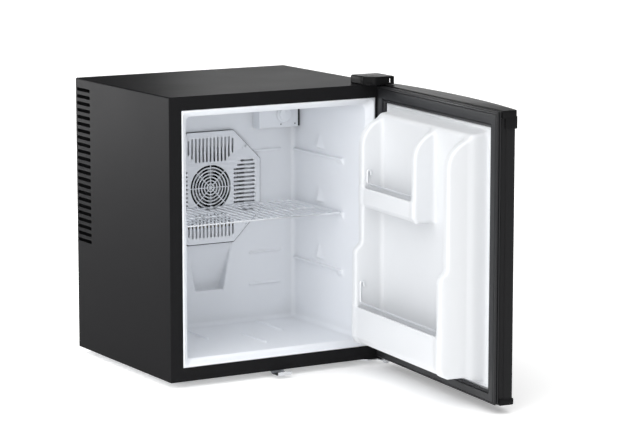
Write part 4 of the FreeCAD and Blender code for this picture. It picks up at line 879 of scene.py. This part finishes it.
def cover_rings():
    """Outlines of the slots in the fan cover's middle: rings cut by spokes."""
    slots = []
    for ring in range(RINGS):
        outer = LARGEST_RING - RING_PITCH * ring
        inner = max(outer - RING_WIDTH, 1)
        for sector in range(SPOKES):
            first = 2 * math.pi / SPOKES * sector
            last = 2 * math.pi / SPOKES * (sector + 1)
            count = max(3, round(outer / 4))
            loop = []
            for radius, order in ((outer, range(count + 1)), (inner, range(count, -1, -1))):
                spare = min(SPOKE_HALF / radius, 0.36)
                step = (last - first - 2 * spare) / count
                loop += [(radius * math.cos(first + spare + step * j),
                          FAN_HEIGHT + radius * math.sin(first + spare + step * j))
                         for j in order]
            slots.append(loop)
    return slots


def cover_louvres():
    """Outlines of the straight slots that run out to the fan cover's four sides."""
    slots = []
    for i in range(-6, 7):
        start = {6: 62.5, 5: 55.5}.get(abs(i), 48)
        end = {6: 90}.get(abs(i), 93)
        level = LOUVRE_PITCH * i
        loop = slot_outline((start + LOUVRE_WIDTH / 2, level), (end - LOUVRE_WIDTH / 2, level),
                            LOUVRE_WIDTH)
        for quarter in range(4):
            turn = Matrix.Rotation(math.pi / 2 * quarter, 2)
            slots.append([tuple(turn @ Vector(p) + Vector((0, FAN_HEIGHT))) for p in loop])
    return slots


def make_fan_cover():
    """Octagonal cover of the cold fan: a slotted face on a rim that stands off the wall."""
    face = cover_low.y
    half, side = COVER_HALF, COVER_SIDE
    corners = [(half, -side), (half, side), (side, half), (-side, half), (-half, side),
               (-half, -side), (-side, -half), (side, -half)]
    octagon = [(u, v + FAN_HEIGHT) for u, v in corners]
    slots = cover_rings() + cover_louvres()
    for u in (-COVER_SCREW_AT, COVER_SCREW_AT):
        for v in (-COVER_SCREW_AT, COVER_SCREW_AT):
            slots.append(ring_outline((u, v + FAN_HEIGHT), COVER_SCREW_HOLE, 20))
    panel = plate("XZ", [rounded_outline(octagon, 4)] + slots, face, face + COVER_THICK, rim=0.35,
                  rim_steps=1)
    inner = [(u * 0.984, v * 0.984 + FAN_HEIGHT) for u, v in corners]
    hole = [(u * 0.96, v * 0.96 + FAN_HEIGHT) for u, v in corners]
    rim = plate("XZ", [rounded_outline(inner, 4), rounded_outline(hole, 4)], face + 2,
                CAVITY_BACK + 0.2)
    settle("fan_cover_grille", merged(panel, rim), "cabinet", "fan_cover")
    # painted shadow: a black ring behind the cover's edge, wider to the right and below, stands in for the shadow
    # gap round the cover
    outer = [(u * 1.014 + 1.2, v * 1.014 + FAN_HEIGHT - 0.8) for u, v in corners]
    shadow_ring = plate("XZ", [rounded_outline(outer, 4), rounded_outline(octagon, 4)],
                 CAVITY_BACK - 2.5, CAVITY_BACK + 0.3, rim=0.2, rim_steps=1)
    settle("fan_cover_shadow_ring", shadow_ring, "cabinet", slot="gasket_rubber")


# height of the shelf's cross wires, and the radii of the three kinds of wire
SHELF_LEVEL, SHELF_HALF = 269.4, 174
CROSS_WIRE, SIDE_WIRE, FINE_WIRE = 1.5, 1.6, 1.15
FINE_COUNT, FINE_SPREAD = 23, 177


def make_shelf():
    """Chromed wire shelf: fine wires bent over a front wire, cross wires and hooked sides."""
    low, high = cad_mm("wire_shelf")
    front, back = low.y + 1.8, high.y - 1.8
    level = SHELF_LEVEL
    wires = []
    for y in (front, -20, back):
        wires.append(tube([(-SHELF_HALF, y, level), (SHELF_HALF, y, level)], CROSS_WIRE,
                          sides=4))
    for side in (-1, 1):
        x = 175.4 * side
        line = [(x, back + 1.5, level), (x, front + 1, level), (x - 5 * side, front + 1, level),
                (x - 5 * side, front + 18, level - 0.2)]
        wires.append(tube(bent(line, 3.4, 8), SIDE_WIRE, sides=4))
    pitch = 2 * FINE_SPREAD / (FINE_COUNT + 1)
    for i in range(FINE_COUNT):
        x = pitch * (i - (FINE_COUNT - 1) / 2)
        line = [(x, back + 0.4, level + 1.9), (x, front + 0.9, level + 1.9),
                (x, front - 0.4, level + 0.3)]
        wires.append(tube(bent(line, 1.2, 3), FINE_WIRE))
    settle("wire_shelf_chrome", merged(*wires), "shelf", "wire_shelf")


def make_top_hinge_cover():
    """Cover over the top hinge: a body on the cabinet, and a nose and a roof over the door."""
    low, high = cad_mm("top_hinge_cover")
    bottom = low.z + 0.8
    side = rounded_outline([(FRONT - 1, bottom), (FRONT, low.z), (high.y, low.z),
                            (high.y, high.z), (FRONT - 1, high.z)], [0, 0, 1, 5, 0])
    body = plate("YZ", [side], low.x, high.x, rim=2.2, rim_steps=4)
    behind = FRONT + 2
    left, shoulder = low.x + 1, low.x + 14
    nose_plan = [(left, behind), (left, FRONT - 6), (shoulder, low.y), (high.x - 10, low.y),
                 (high.x - 10, behind)]
    nose = plate("XY", [rounded_outline(nose_plan, [0, 9, 10, 1.5, 0])], bottom,
                 high.z - 0.4, rim=1.6, rim_steps=3)
    right = high.x - 0.2
    roof_plan = [(shoulder, behind), (shoulder, low.y), (right, low.y), (right, behind)]
    roof = plate("XY", [rounded_outline(roof_plan, [0, 8, 6, 0])], high.z - 4, high.z - 0.2,
                 rim=1.2, rim_steps=3)
    leg = plate("XY", [box_outline(high.x - 5.5, right, low.y, low.y + 7, 1.6)],
                bottom, high.z - 1, rim=0.5)
    settle("top_hinge_cover_shell", merged(body, nose, roof, leg), "cabinet",
           "top_hinge_cover")


def make_bottom_hinge():
    """Bottom hinge: a plate whose arm reaches under the door, its nut and its washer."""
    low, high = cad_mm("bottom_hinge_bracket")
    plan = rounded_outline([(168.5, -144.3), (168.5, -178), (178, -190), (197, -192),
                            (201.2, -207), (210, -210.8), (218.8, -207), (219.6, -190),
                            (219.6, -144.3)], [3, 6, 5, 5, 5, 6, 5, 4, 3])
    arm = plate("XY", [plan], low.z, high.z, rim=0.5)
    nut = turned([(0, -5.4), (3.4, -5.2), (5.2, -4.0), (6.4, -3.6), (6.6, -2.4), (6.2, -0.4),
                  (6.2, 0), (0, 0)], (HINGE.x, HINGE.y, low.z), count=32)
    settle("bottom_hinge_plate", merged(arm, nut), "cabinet", "bottom_hinge_bracket")
    washer = turned([(3.2, 0), (8.6, 0), (9, 0.4), (9, 1.1), (8.7, 1.4), (6.6, 1.6), (6.3, 2.3),
                     (6.0, 2.55), (3.4, 2.6), (3.2, 2.4), (3.2, 0)], (HINGE.x, HINGE.y, BASE))
    settle("bottom_hinge_washer", washer, "cabinet", "hinge_washer")


def make_strike():
    """Strike for the lock: a bent tongue under the front edge, with a stop pin."""
    low, high = cad_mm("strike_plate")
    thick = 1.5
    path = [(high.y, BASE), (FRONT + 6, BASE), (FRONT + 1, low.z + thick),
            (low.y + 1.5, low.z + thick), (low.y + 1.5, high.z)]
    under = [(low.y, high.z), (low.y, low.z), (FRONT + 0.6, low.z), (FRONT + 5.2, BASE - thick),
             (high.y, BASE - thick)]
    side = rounded_outline(path + under, [0, 3, 3, 1, 0.4, 0.4, 2.5, 3, 3, 0])
    tongue = plate("YZ", [side], low.x + 0.3, high.x - 2.5, rim=0.3)
    base = plate("XY", [box_outline(low.x, high.x, FRONT + 12, high.y, 3)], BASE - thick,
                 BASE, rim=0.4)
    stub = turned([(0, -15), (1.0, -14.7), (1.4, -14), (1.4, 0), (2.4, 0.6), (2.9, 1.8),
                   (2.4, 3.2), (1.2, 4), (0, 4.1)], (high.x - 4.2, low.y + 4, low.z + 2.4),
                  "X", 24)
    settle("strike_plate_chrome", merged(tongue, base, stub), "cabinet", "strike_plate")


def make_knob():
    """Thermostat knob: a fluted grip on a skirt, with a raised pointer."""
    low = cad_mm("thermostat_knob")[0]
    centre = Vector(joints["thermostat_turn"]["pos_m"]) / MM
    count, flutes, flute_deep = 96, 24, 0.35
    bm = bmesh.new()
    profile = [(15.0, 8.4), (15.0, 7.2), (14.6, 6.6), (13.4, 6.2), (12.6, 5.6), (12.2, 1.6),
               (11.7, 0.9), (10.8, 0.75), (0, 0.75)]
    rings = []
    for radius, depth in profile:
        if not radius:
            rings.append([bm.verts.new((0, depth, 0))])
            continue
        flute = flute_deep if 1 < depth < 6 and radius < 13 else 0.0
        ring = []
        for i in range(count):
            angle = 2 * math.pi * i / count
            reach = radius - flute * (0.5 + 0.5 * math.cos(flutes * angle))
            ring.append(bm.verts.new((reach * math.cos(angle), depth,
                                      reach * math.sin(angle))))
        rings.append(ring)
    bm.faces.new(rings[0])
    bridge(bm, rings, count)
    grip = finished(bm, "grip")
    pointer = plate("XZ", [box_outline(-1.1, 1.1, 2.5, 11, 1.0)], 0.0, 1.2, rim=0.3)
    stem = turned([(3, -8.3), (3, -17.2), (2.6, -17.5), (0, -17.5)], (0, 0, 0), "Y", 24)
    knob = merged(grip, pointer, stem)
    knob.transform(Matrix.Translation((centre.x, low.y, centre.z)))
    settle("thermostat_dial", knob, "knob", "thermostat_knob")


FOOT_RADIUS = 15


def make_feet():
    """Four turned rubber feet."""
    low, high = cad_mm("feet")
    profile = [(0, 5.3), (4.7, 5.3), (4.9, 0.5), (5.3, 0), (12.4, 0), (13.6, 0.4), (14.3, 1.4),
               (14.6, 3), (14.9, 9.5), (14.9, 11.2), (14.2, 12), (0, 12)]
    feet = []
    for x in (low.x + FOOT_RADIUS, high.x - FOOT_RADIUS):
        for y in (low.y + FOOT_RADIUS, high.y - FOOT_RADIUS):
            feet.append(turned(profile, (x, y, 0)))
    settle("rubber_feet", merged(*feet), "cabinet", "feet")


make_door_liner()
make_gasket()
make_door_shell()
make_bin_rods()
make_inner_liner()
make_fan_cover()
make_shelf()
make_top_hinge_cover()
make_bottom_hinge()
make_strike()
make_knob()
make_feet()

for node_name, node in frame["nodes"].items():
    node.data.materials.clear()
    node.data.materials.append(finishes[node_slot[node_name]])
